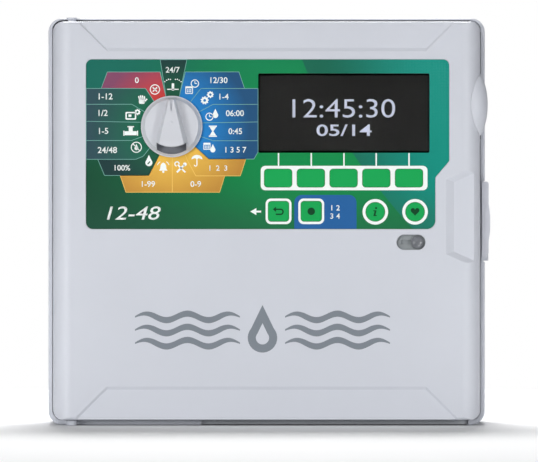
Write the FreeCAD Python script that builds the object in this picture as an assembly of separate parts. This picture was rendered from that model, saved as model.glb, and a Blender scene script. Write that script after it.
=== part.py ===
"""Irrigation controller: wall cabinet, hinged control door, dial, keys, latch and station modules.

Frame: origin at the centre of the back (wall) face, front towards -Y, +Z up, millimetres.
"""
import FreeCAD, Part
import math
import os

V = FreeCAD.Vector

# ---------------------------------------------------------------- driving dimensions
CAB_W, CAB_H = 350.0, 326.0          # cabinet outline
CAB_FRONT = -96.8                    # front edge of the cabinet rim
BACK_WALL = 3.2
WALL_SIDE, WALL_TOP, WALL_BOTTOM = 3.2, 1.6, 3.8
CAB_R = 11.0
INNER_X = CAB_W / 2 - WALL_SIDE      # inside faces of the walls
INNER_Z0, INNER_Z1 = -CAB_H / 2 + WALL_BOTTOM, CAB_H / 2 - WALL_TOP

DOOR_FRONT = -122.0                  # plane of the door face
DOOR_BACK = -97.0                    # back edge of the door skirt
DOOR_HALF = 171.0
DOOR_Z0, DOOR_Z1 = -158.4, 159.6
DOOR_EDGE_R = 15.0                   # rounded long edges, concentric with the hinge on the left
DOOR_SKIN = 3.0
HINGE_X, HINGE_Y = -156.0, -107.0
PIN_R, PIN_CLEAR = 1.8, 0.06

OVERLAY_T, OVERLAY_RECESS = 0.5, 0.6
OVERLAY = [(-144.2, 129.4, 5.0), (145.8, 129.4, 5.0), (145.8, 48.2, 2.0),
           (134.7, 35.1, 2.0), (134.7, -6.2, 7.0), (-144.2, -6.2, 5.6)]
WINDOW = (-6.7, 129.9, 54.8, 118.1)  # x0, x1, z0, z1 of the display opening

DIAL_X, DIAL_Z, DIAL_R = -75.7, 75.7, 24.5
KNOB_BASE, KNOB_TOP = -122.7, -140.0
SHAFT_R = 3.0

SOFT_X0, SOFT_PITCH, SOFT_Z = 9.2, 26.1, 34.6
SOFT_W, SOFT_H, SOFT_R = 21.9, 14.3, 2.8
SQUARE_X = (9.5, 35.6)
SQUARE_W, SQUARE_H, SQUARE_Z = 16.3, 15.9, 8.1
ROUND_X, ROUND_R, ROUND_Z = (86.7, 118.4), 7.5, 7.7
KEY_GAP, KEY_FRONT, KEY_LIP = 0.3, -122.6, 1.2

SLOT_X, SLOT_Z, SLOT_L, SLOT_H = 115.2, -16.6, 23.1, 12.2
SLIDER_X, SLIDER_R = 120.1, 5.0

BOARD_FRONT, BOARD_BACK = -112.0, -110.4
COVER_Y0, COVER_Y1 = -99.0, -97.0

LATCH_PIVOT = (176.6, -70.0)
LATCH_HALF = 32.0

SLOTS = (-79.0, -17.0, 45.0, 107.0)  # centre of each module bay
MOD_W, MOD_Z0, MOD_Z1 = 60.0, 8.0, 128.0
MOD_BACK, MOD_FRONT, MOD_STEP = -20.0, -56.0, -40.0

SCREW_R, HEAD_R, HEAD_T, SCREW_L = 1.25, 2.8, 2.0, 7.4


# ---------------------------------------------------------------- shape helpers
def box(x0, x1, y0, y1, z0, z1):
    """Axis-aligned block between the given limits."""
    return Part.makeBox(x1 - x0, y1 - y0, z1 - z0, V(x0, y0, z0))


def cyl(axis, a, b, r, t0, t1):
    """Cylinder along an axis; (a, b) are the other two coordinates in x, y, z order."""
    t0, t1 = min(t0, t1), max(t0, t1)
    origin, direction = {"x": (V(t0, a, b), V(1, 0, 0)), "y": (V(a, t0, b), V(0, 1, 0)),
                         "z": (V(a, b, t0), V(0, 0, 1))}[axis]
    return Part.makeCylinder(r, t1 - t0, origin, direction)


def cone_y(x, z, r0, r1, y0, y1):
    """Cone about Y from radius r0 at y0 to r1 at y1, with y0 < y1."""
    return Part.makeCone(r0, r1, y1 - y0, V(x, y0, z), V(0, 1, 0))


def place(axis, u, v, t):
    """Point from outline coordinates (u, v) and the position t along the axis."""
    return {"x": V(t, u, v), "y": V(u, t, v), "z": V(u, v, t)}[axis]


def outline(points, axis, t):
    """Closed wire through (u, v) or (u, v, radius) corners, rounded where a radius is given."""
    pts = [(p[0], p[1], p[2] if len(p) > 2 else 0.0) for p in points]
    n, ends, arcs = len(pts), [], []
    for i, (u, v, r) in enumerate(pts):
        a, b = pts[i - 1], pts[(i + 1) % n]
        if r <= 0:
            ends.append(((u, v), (u, v)))
            arcs.append(None)
            continue
        da, db = (a[0] - u, a[1] - v), (b[0] - u, b[1] - v)
        la, lb = math.hypot(*da), math.hypot(*db)
        da, db = (da[0] / la, da[1] / la), (db[0] / lb, db[1] / lb)
        half = math.acos(max(-1.0, min(1.0, da[0] * db[0] + da[1] * db[1]))) / 2
        back = r / math.tan(half)
        mid = (da[0] + db[0], da[1] + db[1])
        lm = math.hypot(*mid)
        reach = r / math.sin(half) - r
        ends.append(((u + da[0] * back, v + da[1] * back), (u + db[0] * back, v + db[1] * back)))
        arcs.append((u + mid[0] / lm * reach, v + mid[1] / lm * reach))
    edges = []
    for i in range(n):
        (start, stop), nxt = ends[i], ends[(i + 1) % n][0]
        if arcs[i] is not None:
            edges.append(Part.Arc(place(axis, *start, t), place(axis, *arcs[i], t),
                                  place(axis, *stop, t)).toShape())
        if math.hypot(nxt[0] - stop[0], nxt[1] - stop[1]) > 1e-6:
            edges.append(Part.makeLine(place(axis, *stop, t), place(axis, *nxt, t)))
    return Part.Wire(edges)


def prism(points, axis, t0, t1):
    """Solid from an outline pushed along an axis."""
    direction = {"x": V(t1 - t0, 0, 0), "y": V(0, t1 - t0, 0), "z": V(0, 0, t1 - t0)}[axis]
    return Part.Face(outline(points, axis, t0)).extrude(direction)


def rect(x0, x1, z0, z1, r=0.0):
    """Corner list of a rounded rectangle."""
    return [(x0, z0, r), (x1, z0, r), (x1, z1, r), (x0, z1, r)]


def slab(x0, x1, z0, z1, r, y0, y1):
    """Rounded rectangle pushed along Y."""
    return prism(rect(x0, x1, z0, z1, r), "y", y0, y1)


def taper(outer, inner, y0, y1):
    """Solid between an outline at y0 and one with as many corners at y1."""
    wires = [outline(outer, "y", y0), outline(inner, "y", y1)]
    return Part.makeLoft(wires, True, True)


def join(shapes):
    """One solid from several that overlap or share faces."""
    shapes = list(shapes)
    return shapes[0].fuse(shapes[1:]).removeSplitter() if len(shapes) > 1 else shapes[0]


def carve(shape, tools):
    """Shape less every tool."""
    tools = list(tools)
    return shape.cut(tools) if tools else shape


def group(shapes):
    """Several separate solids kept in one node."""
    return Part.makeCompound([s for shape in shapes for s in shape.Solids])


def soften(shape, radius, pick):
    """Round the edges chosen by pick(edge)."""
    return shape.makeFillet(radius, [e for e in shape.Edges if pick(e)])


def at_y(edge, y):
    """True for an edge lying wholly in the plane y."""
    return abs(edge.BoundBox.YMin - y) < 1e-4 and abs(edge.BoundBox.YMax - y) < 1e-4


def screw(x, z, y_face, length=SCREW_L):
    """Pan-head screw driven towards -Y or +Y from the face it clamps: sign of length."""
    s = 1 if length > 0 else -1
    y0, y1 = sorted((y_face, y_face - s * HEAD_T))
    head = cyl("y", x, z, HEAD_R, y0, y1)
    head = soften(head, 0.7, lambda e: at_y(e, y_face - s * HEAD_T))
    slots = [box(x - 1.7, x + 1.7, *sorted((y_face - s * HEAD_T, y_face - s * 1.1)), z - 0.3, z + 0.3),
             box(x - 0.3, x + 0.3, *sorted((y_face - s * HEAD_T, y_face - s * 1.1)), z - 1.7, z + 1.7)]
    return carve(join([head, cyl("y", x, z, SCREW_R, *sorted((y_face, y_face + length)))]), slots)


# ---------------------------------------------------------------- cabinet
TRAY_BOSSES = [(x, z) for x in (-122.0, -48.0, 14.0, 76.0, 145.0) for z in (3.0, 133.0)]
TRAY_BOSS_TOP = -13.4
EARTH_BOSSES = [(56.0, -62.0), (116.0, -62.0)]
EARTH_TOP = -11.2
COVER_BOSSES = [(-128.0, -40.0), (-70.0, -40.0)]
COVER_TOP = -11.4
CORE_BOSSES = [(-136.0, -103.0), (-60.0, -103.0)]
CORE_TOP = -8.0
WALL_HOLES = [(x, z) for x in (-155.0, 155.0) for z in (-145.0, 145.0)]
ENTRY_X0, ENTRY_X1, ENTRY_BACK, ENTRY_FRONT = -54.6, 161.6, -22.0, -93.0
MAINS_ENTRY = (-99.0, -32.0, 11.1)
FIELD_ENTRIES = [(96.0, -58.0, 17.0), (20.0, -58.0, 14.0)]


def cabinet_block():
    """Outer block of the cabinet with its rounded corners and edges."""
    hw, hh = CAB_W / 2, CAB_H / 2
    body = slab(-hw, hw, -hh, hh, CAB_R, CAB_FRONT, 0.0)
    body = soften(body, 1.4, lambda e: at_y(e, CAB_FRONT))
    return soften(body, 2.5, lambda e: at_y(e, 0.0))


def cabinet_back():
    """Back wall with its bosses, stiffening ribs and wall fixings."""
    parts = [cabinet_block().common(box(-200, 200, -BACK_WALL, 1, -200, 200))]
    for spots, top, r in ((TRAY_BOSSES, TRAY_BOSS_TOP, 3.6), (EARTH_BOSSES, EARTH_TOP, 3.6),
                          (COVER_BOSSES, COVER_TOP, 3.6), (CORE_BOSSES, CORE_TOP, 4.2)):
        parts += [cyl("y", x, z, r, top, -BACK_WALL + 0.5) for x, z in spots]
    for x in (-20.0, 60.0, 140.0):
        parts.append(box(x - 1.2, x + 1.2, -18.0, -BACK_WALL + 0.5, INNER_Z0, INNER_Z0 + 16))
    cuts = [cyl("y", x, z, SCREW_R, top - 1, top + 5.9) for spots, top in
            ((TRAY_BOSSES, TRAY_BOSS_TOP), (EARTH_BOSSES, EARTH_TOP), (COVER_BOSSES, COVER_TOP),
             (CORE_BOSSES, CORE_TOP - 1.4)) for x, z in spots]
    cuts += [cyl("y", x, z, 2.8, -5, 1) for x, z in WALL_HOLES]
    cuts += [cyl("y", 0, 145.0, 5.6, -5, 1), box(-2.7, 2.7, -5, 1, 145.0, 153.0),
             cyl("y", 0, 153.0, 2.7, -5, 1)]
    return carve(join(parts), cuts)


def cabinet_ring():
    """The four cabinet walls in one, with the hinge ears, latch lugs and the cable notch."""
    hw, hh = CAB_W / 2, CAB_H / 2
    body = cabinet_block().common(box(-200, 200, -200, -BACK_WALL, -200, 200))
    body = body.cut(slab(-INNER_X, INNER_X, INNER_Z0, INNER_Z1, CAB_R - 3, CAB_FRONT - 1, 1.0))
    parts = [body.cut(box(hw - 1.0, hw + 2, -110, -66, -LATCH_HALF - 0.6, LATCH_HALF + 0.6))]
    for z0, z1 in ((-hh, INNER_Z0), (INNER_Z1, hh)):
        parts.append(box(HINGE_X - 4.2, HINGE_X + 4.2, HINGE_Y, CAB_FRONT + 1.5, z0, z1))
        parts.append(cyl("z", HINGE_X, HINGE_Y, 4.2, z0, z1))
    parts.append(cyl("z", HINGE_X, HINGE_Y, 3.2, INNER_Z0, INNER_Z0 + 0.4))
    parts.append(cyl("z", HINGE_X, HINGE_Y, 3.2, DOOR_Z1 + 0.4, INNER_Z1))
    px, py = LATCH_PIVOT
    for z0, z1 in ((-31.5, -25.0), (-3.4, 3.4), (25.0, 31.5)):
        parts.append(join([cyl("z", px, py, 2.2, z0, z1), box(hw - 1.6, px, py - 2.2, py + 2.2, z0, z1)]))
    x, y, r = MAINS_ENTRY
    cuts = [cyl("z", HINGE_X, HINGE_Y, PIN_R, -170, 170),
            cyl("z", HINGE_X, HINGE_Y, 2.9, -170, -hh + 1.0), cyl("z", HINGE_X, HINGE_Y, 2.9, hh - 1.0, 170),
            cyl("z", px, py, 1.0, -40, 40), box(hw - 5, hw + 2, -95.2, -82.0, -9, 9),
            cyl("z", x, y, r, -hh - 1, INNER_Z0 + 1),
            prism([(ENTRY_X0 + 4.0, CAB_FRONT - 2), (ENTRY_X1, CAB_FRONT - 2), (ENTRY_X1, ENTRY_BACK, 3.0),
                   (ENTRY_X0, ENTRY_BACK, 3.0), (ENTRY_X0, CAB_FRONT + 3.0)], "z", -hh - 1, INNER_Z0)]
    return carve(join(parts), cuts)


def cabinet_walls():
    """Side, top and bottom walls, each a panel of its own."""
    ring, cut = cabinet_ring(), 168.5
    panels = [(-200, -cut, -200, 0, -200, 200), (cut, 200, -200, 0, -200, 200), (-cut, cut, -200, 0, 0, 200),
              (-cut, ENTRY_X0 + 4, -200, 0, -200, 0), (ENTRY_X1, cut, -200, 0, -200, 0),
              (ENTRY_X0 + 4, ENTRY_X1, -200, 0, -200, 0)]
    return group([ring.common(box(*limits)) for limits in panels])


def gasket_frame():
    """Flat bars that the door's foam strip closes on, parted where the latch nose passes."""
    ring = slab(-INNER_X, INNER_X, INNER_Z0, INNER_Z1, CAB_R - 3, -94.0, -92.0)
    ring = ring.cut(slab(-165.0, 164.0, -151.4, 153.0, 0.0, -95, -91))
    bars = [(-142.5, 172.0, 153.0, 162.0), (164.0, 172.0, 9.0, 153.0), (164.0, 172.0, -151.4, -9.0),
            (-142.5, 172.0, -162.0, -151.4)]
    return group([ring.common(box(x0, x1, -95, -91, z0, z1)) for x0, x1, z0, z1 in bars])


def cable_entry_plate():
    """Grey bottom insert with the field-wire openings, held by a rear lip and a flange."""
    z0 = -CAB_H / 2 + 0.4
    x0, x1 = ENTRY_X0 + 0.3, ENTRY_X1 - 0.3
    plate = prism([(x0, ENTRY_FRONT), (x1, ENTRY_FRONT), (x1, ENTRY_BACK - 0.3, 2.7),
                   (x0, ENTRY_BACK - 0.3, 2.7)], "z", z0, -CAB_H / 2 + WALL_BOTTOM)
    flange = box(ENTRY_X0 - 5, ENTRY_X1 + 2, -91.5, -19.0, -CAB_H / 2 + WALL_BOTTOM, -157.2)
    ribs = [box(ENTRY_X0 + 4, ENTRY_X1 - 4, y, y + 1.6, -157.2, -152.0) for y in (-84.0, -27.0)]
    plate = join([plate, flange] + ribs)
    cuts = [cyl("z", x, y, r, -170, -150) for x, y, r in FIELD_ENTRIES]
    cuts.append(cyl("z", 62.0, -58.0, 11.0, -170, -150))
    return carve(plate, cuts)


def entry_blank():
    """Push-in plug closing the spare conduit opening."""
    z1 = -157.2
    plug = join([cyl("z", 62.0, -58.0, 10.95, -162.6, z1), cyl("z", 62.0, -58.0, 13.0, z1, z1 + 1.6)])
    return plug.cut(cyl("z", 62.0, -58.0, 8.8, -160.6, z1 + 3))


def pivot_pins():
    """Two headed hinge pins pushed through the cabinet ears into the door, and the latch pin."""
    hh = CAB_H / 2
    low = join([cyl("z", HINGE_X, HINGE_Y, PIN_R, -hh + 0.2, -148.0),
                cyl("z", HINGE_X, HINGE_Y, 2.85, -hh + 0.2, -hh + 1.0)])
    high = join([cyl("z", HINGE_X, HINGE_Y, PIN_R, 149.0, hh - 0.2),
                 cyl("z", HINGE_X, HINGE_Y, 2.85, hh - 1.0, hh - 0.2)])
    return group([low, high, cyl("z", *LATCH_PIVOT, 1.0, -31.0, 31.0)])


# ---------------------------------------------------------------- side latch
def latch_paddle():
    """Pull-out paddle on the right wall with its lip, thumb swell and inner nose."""
    x0, x1, h = 174.4, 177.8, LATCH_HALF
    face = [(x0, h), (x1 - 1.2, h), (x1, h - 1.6), (x1, -25.2), (x0, -h + 2.6), (x0, -h + 4)]
    plate = prism(face, "y", -101.0, -73.4)
    lip = prism([(172.2, h), (x1 - 1.2, h), (x1, h - 1.6), (x1, -25.2), (172.2, -h)], "y", -104.0, -100.5)
    swell = [(x1 - 1.0, -16.0), (x1, -16.0), (x1 + 1.3, -7.0, 12.0), (x1 + 1.3, 5.0, 12.0), (x1, 14.0),
             (x1 - 1.0, 14.0)]
    parts = [plate, lip, prism(swell, "y", -104.0, -82.0), box(172.2, 174.2, -104.5, -104.0, -12.4, 14.0)]
    px, py = LATCH_PIVOT
    for z0, z1 in ((-24.6, -9.0), (9.0, 24.6)):
        parts.append(join([cyl("z", px, py, 2.1, z0, z1), box(x0 + 0.1, px + 2.1 - 1.0, -74.0, py, z0, z1)]))
    paddle = join(parts)
    return paddle.cut(cyl("z", px, py, 1.05, -40, 40))


def latch_nose():
    """Nose on the paddle's inner face that reaches through the wall to the catch."""
    return box(166.5, 174.4, -92.0, -88.0, -7.0, 7.0)


def latch_spring():
    """Torsion spring beside the middle lug, one leg on the wall and one on the paddle."""
    px, py = LATCH_PIVOT
    helix = Part.makeHelix(0.62, 3.72, 1.5)
    start = V(1.5, 0, 0)
    ring = Part.Wire(Part.makeCircle(0.24, start, V(0, 1, 0)))
    coil = Part.Wire(helix).makePipeShell([ring], True, True)
    coil.translate(V(px, py, 4.0))
    leg = cyl("y", px + 1.5, 4.0, 0.24, py - 5.0, py)
    return join([coil, leg])


# ---------------------------------------------------------------- modules and power
def module_tray():
    """Carrier plate with bay rails, over the backplane board."""
    plate = slab(-128.0, 151.0, -3.0, 139.0, 4.0, -20.0, -17.0)
    rails = [box(c + d - 0.8, c + d + 0.8, -34.0, -17.5, 6.0, 130.0) for c, d in
             [(c, -31.0) for c in SLOTS] + [(SLOTS[-1], 31.0)]]
    legs = [cyl("y", x, z, 3.2, -17.5, -15.0) for x, z in TRAY_BOSSES]
    cuts = [box(c - 12, c + 12, -21, -16, 66.0, 118.0) for c in SLOTS]
    cuts += [cyl("y", x, z, 1.6, -40, -10) for x, z in TRAY_BOSSES]
    cuts += [box(-126.0, -114.0, -21, -16, 40.0, 80.0)]
    return carve(join([plate] + rails + legs), cuts)


def backplane_board():
    """Circuit board joining the module sockets."""
    board = slab(-128.0, 151.0, -3.0, 139.0, 3.0, -15.0, TRAY_BOSS_TOP)
    return carve(board, [cyl("y", x, z, 1.6, -20, -10) for x, z in TRAY_BOSSES])


def backplane_sockets():
    """Module sockets and the ribbon header on the backplane."""
    out = []
    for c in SLOTS:
        block = slab(c - 8, c + 8, 70.0, 114.0, 1.0, -24.0, -15.0)
        slots = [box(c + dx - 1.4, c + dx + 1.4, -24.5, -20.0, 73.0, 111.0) for dx in (-3.5, 3.5)]
        out.append(carve(block, slots))
    header = slab(-124.0, -116.0, 42.0, 78.0, 0.8, -24.0, -15.0)
    out.append(header.cut(box(-122.2, -117.8, -25, -18.0, 44.0, 76.0)))
    return group(out)


def module_housing(c, base=False):
    """Hollow module case with a terminal step and a boss for its locking lever."""
    hw = MOD_W / 2 - 0.4
    side = [(MOD_BACK, MOD_Z0), (MOD_STEP, MOD_Z0, 1.5), (MOD_STEP, 34.0), (MOD_FRONT, 40.0, 3.0),
            (MOD_FRONT, MOD_Z1, 3.0), (MOD_BACK, MOD_Z1)]
    body = prism(side, "x", c - hw, c + hw)
    inner = [(MOD_BACK + 1, MOD_Z0 + 2), (MOD_STEP + 2, MOD_Z0 + 2), (MOD_STEP + 2, 36.0),
             (MOD_FRONT + 2, 42.0), (MOD_FRONT + 2, MOD_Z1 - 2), (MOD_BACK + 1, MOD_Z1 - 2)]
    body = body.cut(prism(inner, "x", c - hw + 2, c + hw - 2))
    boss = cyl("y", c, 112.0, 5.0, MOD_FRONT + 1.0, MOD_FRONT + 8.0)
    body = join([body, boss])
    cuts = [cyl("y", c, 112.0, 2.06, MOD_FRONT - 1, MOD_FRONT + 6.0)]
    cuts += [box(c - 21, c + 21, MOD_FRONT - 1, MOD_FRONT + 0.5, 58.0, 96.0)]
    if base:
        cuts += [cyl("y", c + dx, 50.0, 1.6, MOD_FRONT - 1, MOD_FRONT + 3) for dx in (-12.0, 0.0, 12.0)]
    return carve(body, cuts)


def base_module():
    """Main module in the first bay."""
    return module_housing(SLOTS[0], base=True)


def station_modules():
    """Three station modules in the other bays."""
    return group([module_housing(c) for c in SLOTS[1:]])


def module_boards():
    """Boards inside the modules, each with its plug on the backplane socket."""
    out = []
    for c in SLOTS:
        board = slab(c - 26, c + 26, 46.0, 124.0, 1.0, -30.0, -28.4)
        plug = slab(c - 9, c + 9, 68.0, 116.0, 0.5, -28.4, -24.0)
        relays = [box(c - 22 + i * 11.5, c - 13 + i * 11.5, -40.0, -30.0, 50.0, 66.0) for i in range(4)]
        chip = box(c - 6, c + 6, -31.8, -30.0, 84.0, 100.0)
        out.append(join([board, plug, chip] + relays))
    return group(out)


TERM_X = [-24.75 + 4.5 * i for i in range(12)]


def module_terminals():
    """Twelve-way terminal strips on the module steps and the mains strip."""
    out = []
    for c in SLOTS:
        block = slab(c - 27.6, c + 27.6, 12.0, 32.0, 0.6, -52.0, MOD_STEP)
        wells = [cyl("y", c + x, 25.0, 1.75, -53, -45.0) for x in TERM_X]
        ways = [box(c + x - 1.4, c + x + 1.4, -50.0, -46.4, 11.0, 19.0) for x in TERM_X]
        out.append(carve(block, wells + ways))
    return group(out)


def mains_block():
    """Three-way strip for the supply and earth wires."""
    block = slab(-120.0, -78.0, -74.0, -56.0, 1.0, -24.0, -BACK_WALL)
    wells = [cyl("y", -111 + 12 * i, -65.0, 2.6, -25, -12.0) for i in range(3)]
    ways = [box(-114.0 + 12 * i, -108.0 + 12 * i, -20.0, -14.0, -75, -69.0) for i in range(3)]
    return carve(block, wells + ways)


def slotted(x, z, r, y0, y1):
    """Plain cylinder with a driver slot in its front end."""
    return cyl("y", x, z, r, y0, y1).cut(box(x - r, x + r, y0 - 1, y0 + 0.8, z - 0.3, z + 0.3))


def terminal_screws():
    """Clamp screws of every terminal strip and of the earth bar."""
    out = [slotted(c + x, 25.0, 1.75, -49.5, -45.0) for c in SLOTS for x in TERM_X]
    out += [slotted(-111 + 12 * i, -65.0, 2.6, -18.0, -12.0) for i in range(3)]
    out += [slotted(68.0 + 9 * i, -62.0, 2.2, -19.6, -14.0) for i in range(5)]
    return group(out)


def earth_bar():
    """Brass earth bar on two bosses."""
    bar = slab(52.0, 120.0, -67.0, -57.0, 1.5, -17.2, EARTH_TOP)
    cuts = [cyl("y", x, z, 1.6, -20, -10) for x, z in EARTH_BOSSES]
    cuts += [cyl("y", 68.0 + 9 * i, -62.0, 2.2, -20, -14.0) for i in range(5)]
    cuts += [cyl("z", 68.0 + 9 * i, -14.2, 1.4, -68, -63.0) for i in range(5)]
    return carve(bar, cuts)


def cabinet_screws():
    """Pan-head screws of the tray, earth bar, mains cover and transformer bracket."""
    out = [screw(x, z, -20.0, 12.0) for x, z in TRAY_BOSSES]
    out += [screw(x, z, -17.2, 11.6) for x, z in EARTH_BOSSES]
    out += [screw(x, z, COVER_TOP - 2.0) for x, z in COVER_BOSSES]
    out += [screw(x, z, CORE_TOP - 1.4, 5.8) for x, z in CORE_BOSSES]
    return group(out)


CORE = (-130.0, -66.0, -130.0, -76.0)


def transformer_core():
    """Laminated E-I stack."""
    x0, x1, z0, z1 = CORE
    stack = box(x0, x1, -44.0, -20.0, z0, z1)
    legs = [box(x0 + 11, x0 + 21, -45, -19, z0 + 10, z1 - 10),
            box(x1 - 21, x1 - 11, -45, -19, z0 + 10, z1 - 10)]
    grooves = [box(x0 - 1, x0 + 0.3, y, y + 0.4, z0 - 1, z1 + 1)
               for y in (-40.0, -36.0, -32.0, -28.0, -24.0)]
    return carve(stack, legs + grooves)


def transformer_winding():
    """Bobbin and windings round the middle leg."""
    x0, x1, z0, z1 = CORE
    coil = slab(x0 + 11, x1 - 11, z0 + 10, z1 - 10, 4.0, -54.0, -10.5)
    return coil.cut(transformer_core())


def transformer_bracket():
    """Steel strap over the core with a foot on each side."""
    x0, x1, z0, z1 = CORE
    zc = (z0 + z1) / 2
    z0, z1 = zc - 4.5, zc + 4.5
    t = 1.4
    strap = [box(x0 - t, x0, -45.4, CORE_TOP, z0, z1), box(x1, x1 + t, -45.4, CORE_TOP, z0, z1),
             box(x0 - 12, x0, CORE_TOP - t, CORE_TOP, z0 - 2, z1 + 2),
             box(x1, x1 + 12, CORE_TOP - t, CORE_TOP, z0 - 2, z1 + 2)]
    hooks = [box(x0 - t, x0 + 8, -45.4, -44.0, z0, z1), box(x1 - 8, x1 + t, -45.4, -44.0, z0, z1)]
    return group([carve(join([strap[i], strap[i + 2], hooks[i]]),
                        [cyl("y", *CORE_BOSSES[i], 1.6, -20, 0)]) for i in range(2)])


def mains_cover():
    """Cover over the transformer and supply terminals, open towards the conduit."""
    x0, x1, z0, z1 = -146.0, -52.0, -157.0, -48.0
    block = box(x0, x1, -66.0, -4.0, z0, z1)
    body = soften(block, 4.0, lambda e: at_y(e, -66.0) and e.BoundBox.ZMax > z0 + 1)
    body = body.cut(box(x0 + 2, x1 - 2, -64.0, -3.0, z0 - 1, z1 - 2))
    tabs = [slab(x - 6, x + 6, -50.0, -34.0, 3.0, COVER_TOP - 2, COVER_TOP) for x, z in COVER_BOSSES]
    body = join([body] + tabs)
    cuts = [cyl("y", x, z, 1.6, -30, 0) for x, z in COVER_BOSSES]
    cuts += [slab(-126.0, -72.0, z - 1.2, z + 1.2, 1.1, -67, -63) for z in (-96.0, -104.0, -112.0, -120.0)]
    cuts.append(box(-90.0, -70.0, -30.0, -14.0, -52.0, -46.0))
    return carve(body, cuts)


# ---------------------------------------------------------------- door
BOARD_POSTS = [(-108.0, 118.0), (-108.0, -25.0), (-22.0, 118.0), (-22.0, -25.0), (139.0, 124.0),
               (139.0, -25.0)]
PAD = (136.0, -44.0, 51.0, 3.4)      # thicker skin behind the finger pocket: x0, z0, z1, depth
COVER_POSTS = [(-140.0, 146.0), (8.0, 146.0), (151.0, 146.0), (-140.0, -146.0), (8.0, -146.0),
               (151.0, -146.0)]


def key_plans():
    """Every key: name, corner list or circle, and how far its lip spreads."""
    plans = []
    for i in range(5):
        x = SOFT_X0 + SOFT_PITCH * i
        plans.append(("softkey_%d" % (i + 1), "rect", x, SOFT_Z, SOFT_W, SOFT_H, SOFT_R))
    for name, x in zip(("back_key", "program_key"), SQUARE_X):
        plans.append((name, "rect", x, SQUARE_Z, SQUARE_W, SQUARE_H, 2.6))
    for name, x in zip(("info_key", "favourite_key"), ROUND_X):
        plans.append((name, "round", x, ROUND_Z, 2 * ROUND_R, 2 * ROUND_R, ROUND_R))
    return plans


def key_slab(plan, grow, y0, y1):
    """A key's outline grown by a margin and pushed along Y."""
    _, kind, x, z, w, h, r = plan
    if kind == "round":
        return cyl("y", x, z, r + grow, y0, y1)
    return slab(x - w / 2 - grow, x + w / 2 + grow, z - h / 2 - grow, z + h / 2 + grow, r + grow, y0, y1)


def key(plan):
    """Key cap with a softened front and a retaining lip behind the door skin."""
    cap = key_slab(plan, 0.0, KEY_FRONT, -118.0)
    cap = soften(cap, 0.5, lambda e: at_y(e, KEY_FRONT))
    lip = key_slab(plan, KEY_LIP, -118.9, -117.9)
    return join([cap, lip])


def stadium(x, z, length, height, y0, y1):
    """Capsule outline along X pushed along Y."""
    r = height / 2
    mid = box(x - length / 2 + r, x + length / 2 - r, y0, y1, z - r, z + r)
    ends = [cyl("y", x + s * (length / 2 - r), z, r, y0, y1) for s in (-1, 1)]
    return join([mid] + ends)


def door_block():
    """Outer block of the door with its rounded long edges."""
    plan = [(DOOR_HALF, DOOR_BACK), (DOOR_HALF, DOOR_FRONT, DOOR_EDGE_R),
            (-DOOR_HALF, DOOR_FRONT, DOOR_EDGE_R), (-DOOR_HALF, DOOR_BACK)]
    body = prism(plan, "z", DOOR_Z0, DOOR_Z1)
    body = body.common(slab(-DOOR_HALF, DOOR_HALF, DOOR_Z0, DOOR_Z1, 8.5, DOOR_FRONT - 1, DOOR_BACK + 1))
    side = [(DOOR_BACK, DOOR_Z0), (DOOR_FRONT, DOOR_Z0, 3.0), (DOOR_FRONT, DOOR_Z1, 3.0),
            (DOOR_BACK, DOOR_Z1)]
    return body.common(prism(side, "x", -DOOR_HALF - 1, DOOR_HALF + 1))


def door_knuckle():
    """Swollen knuckle on the opening edge of the door."""
    ball = Part.makeSphere(1.0)
    scale = FreeCAD.Matrix()
    scale.scale(14.9, 12.4, 31.0)
    ball = ball.transformGeometry(scale)
    ball.translate(V(162.0, -108.0, 93.5))
    return ball.common(box(158.0, 178.0, -123.0, DOOR_BACK, 60.0, 128.0)).cut(door_block())


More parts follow.
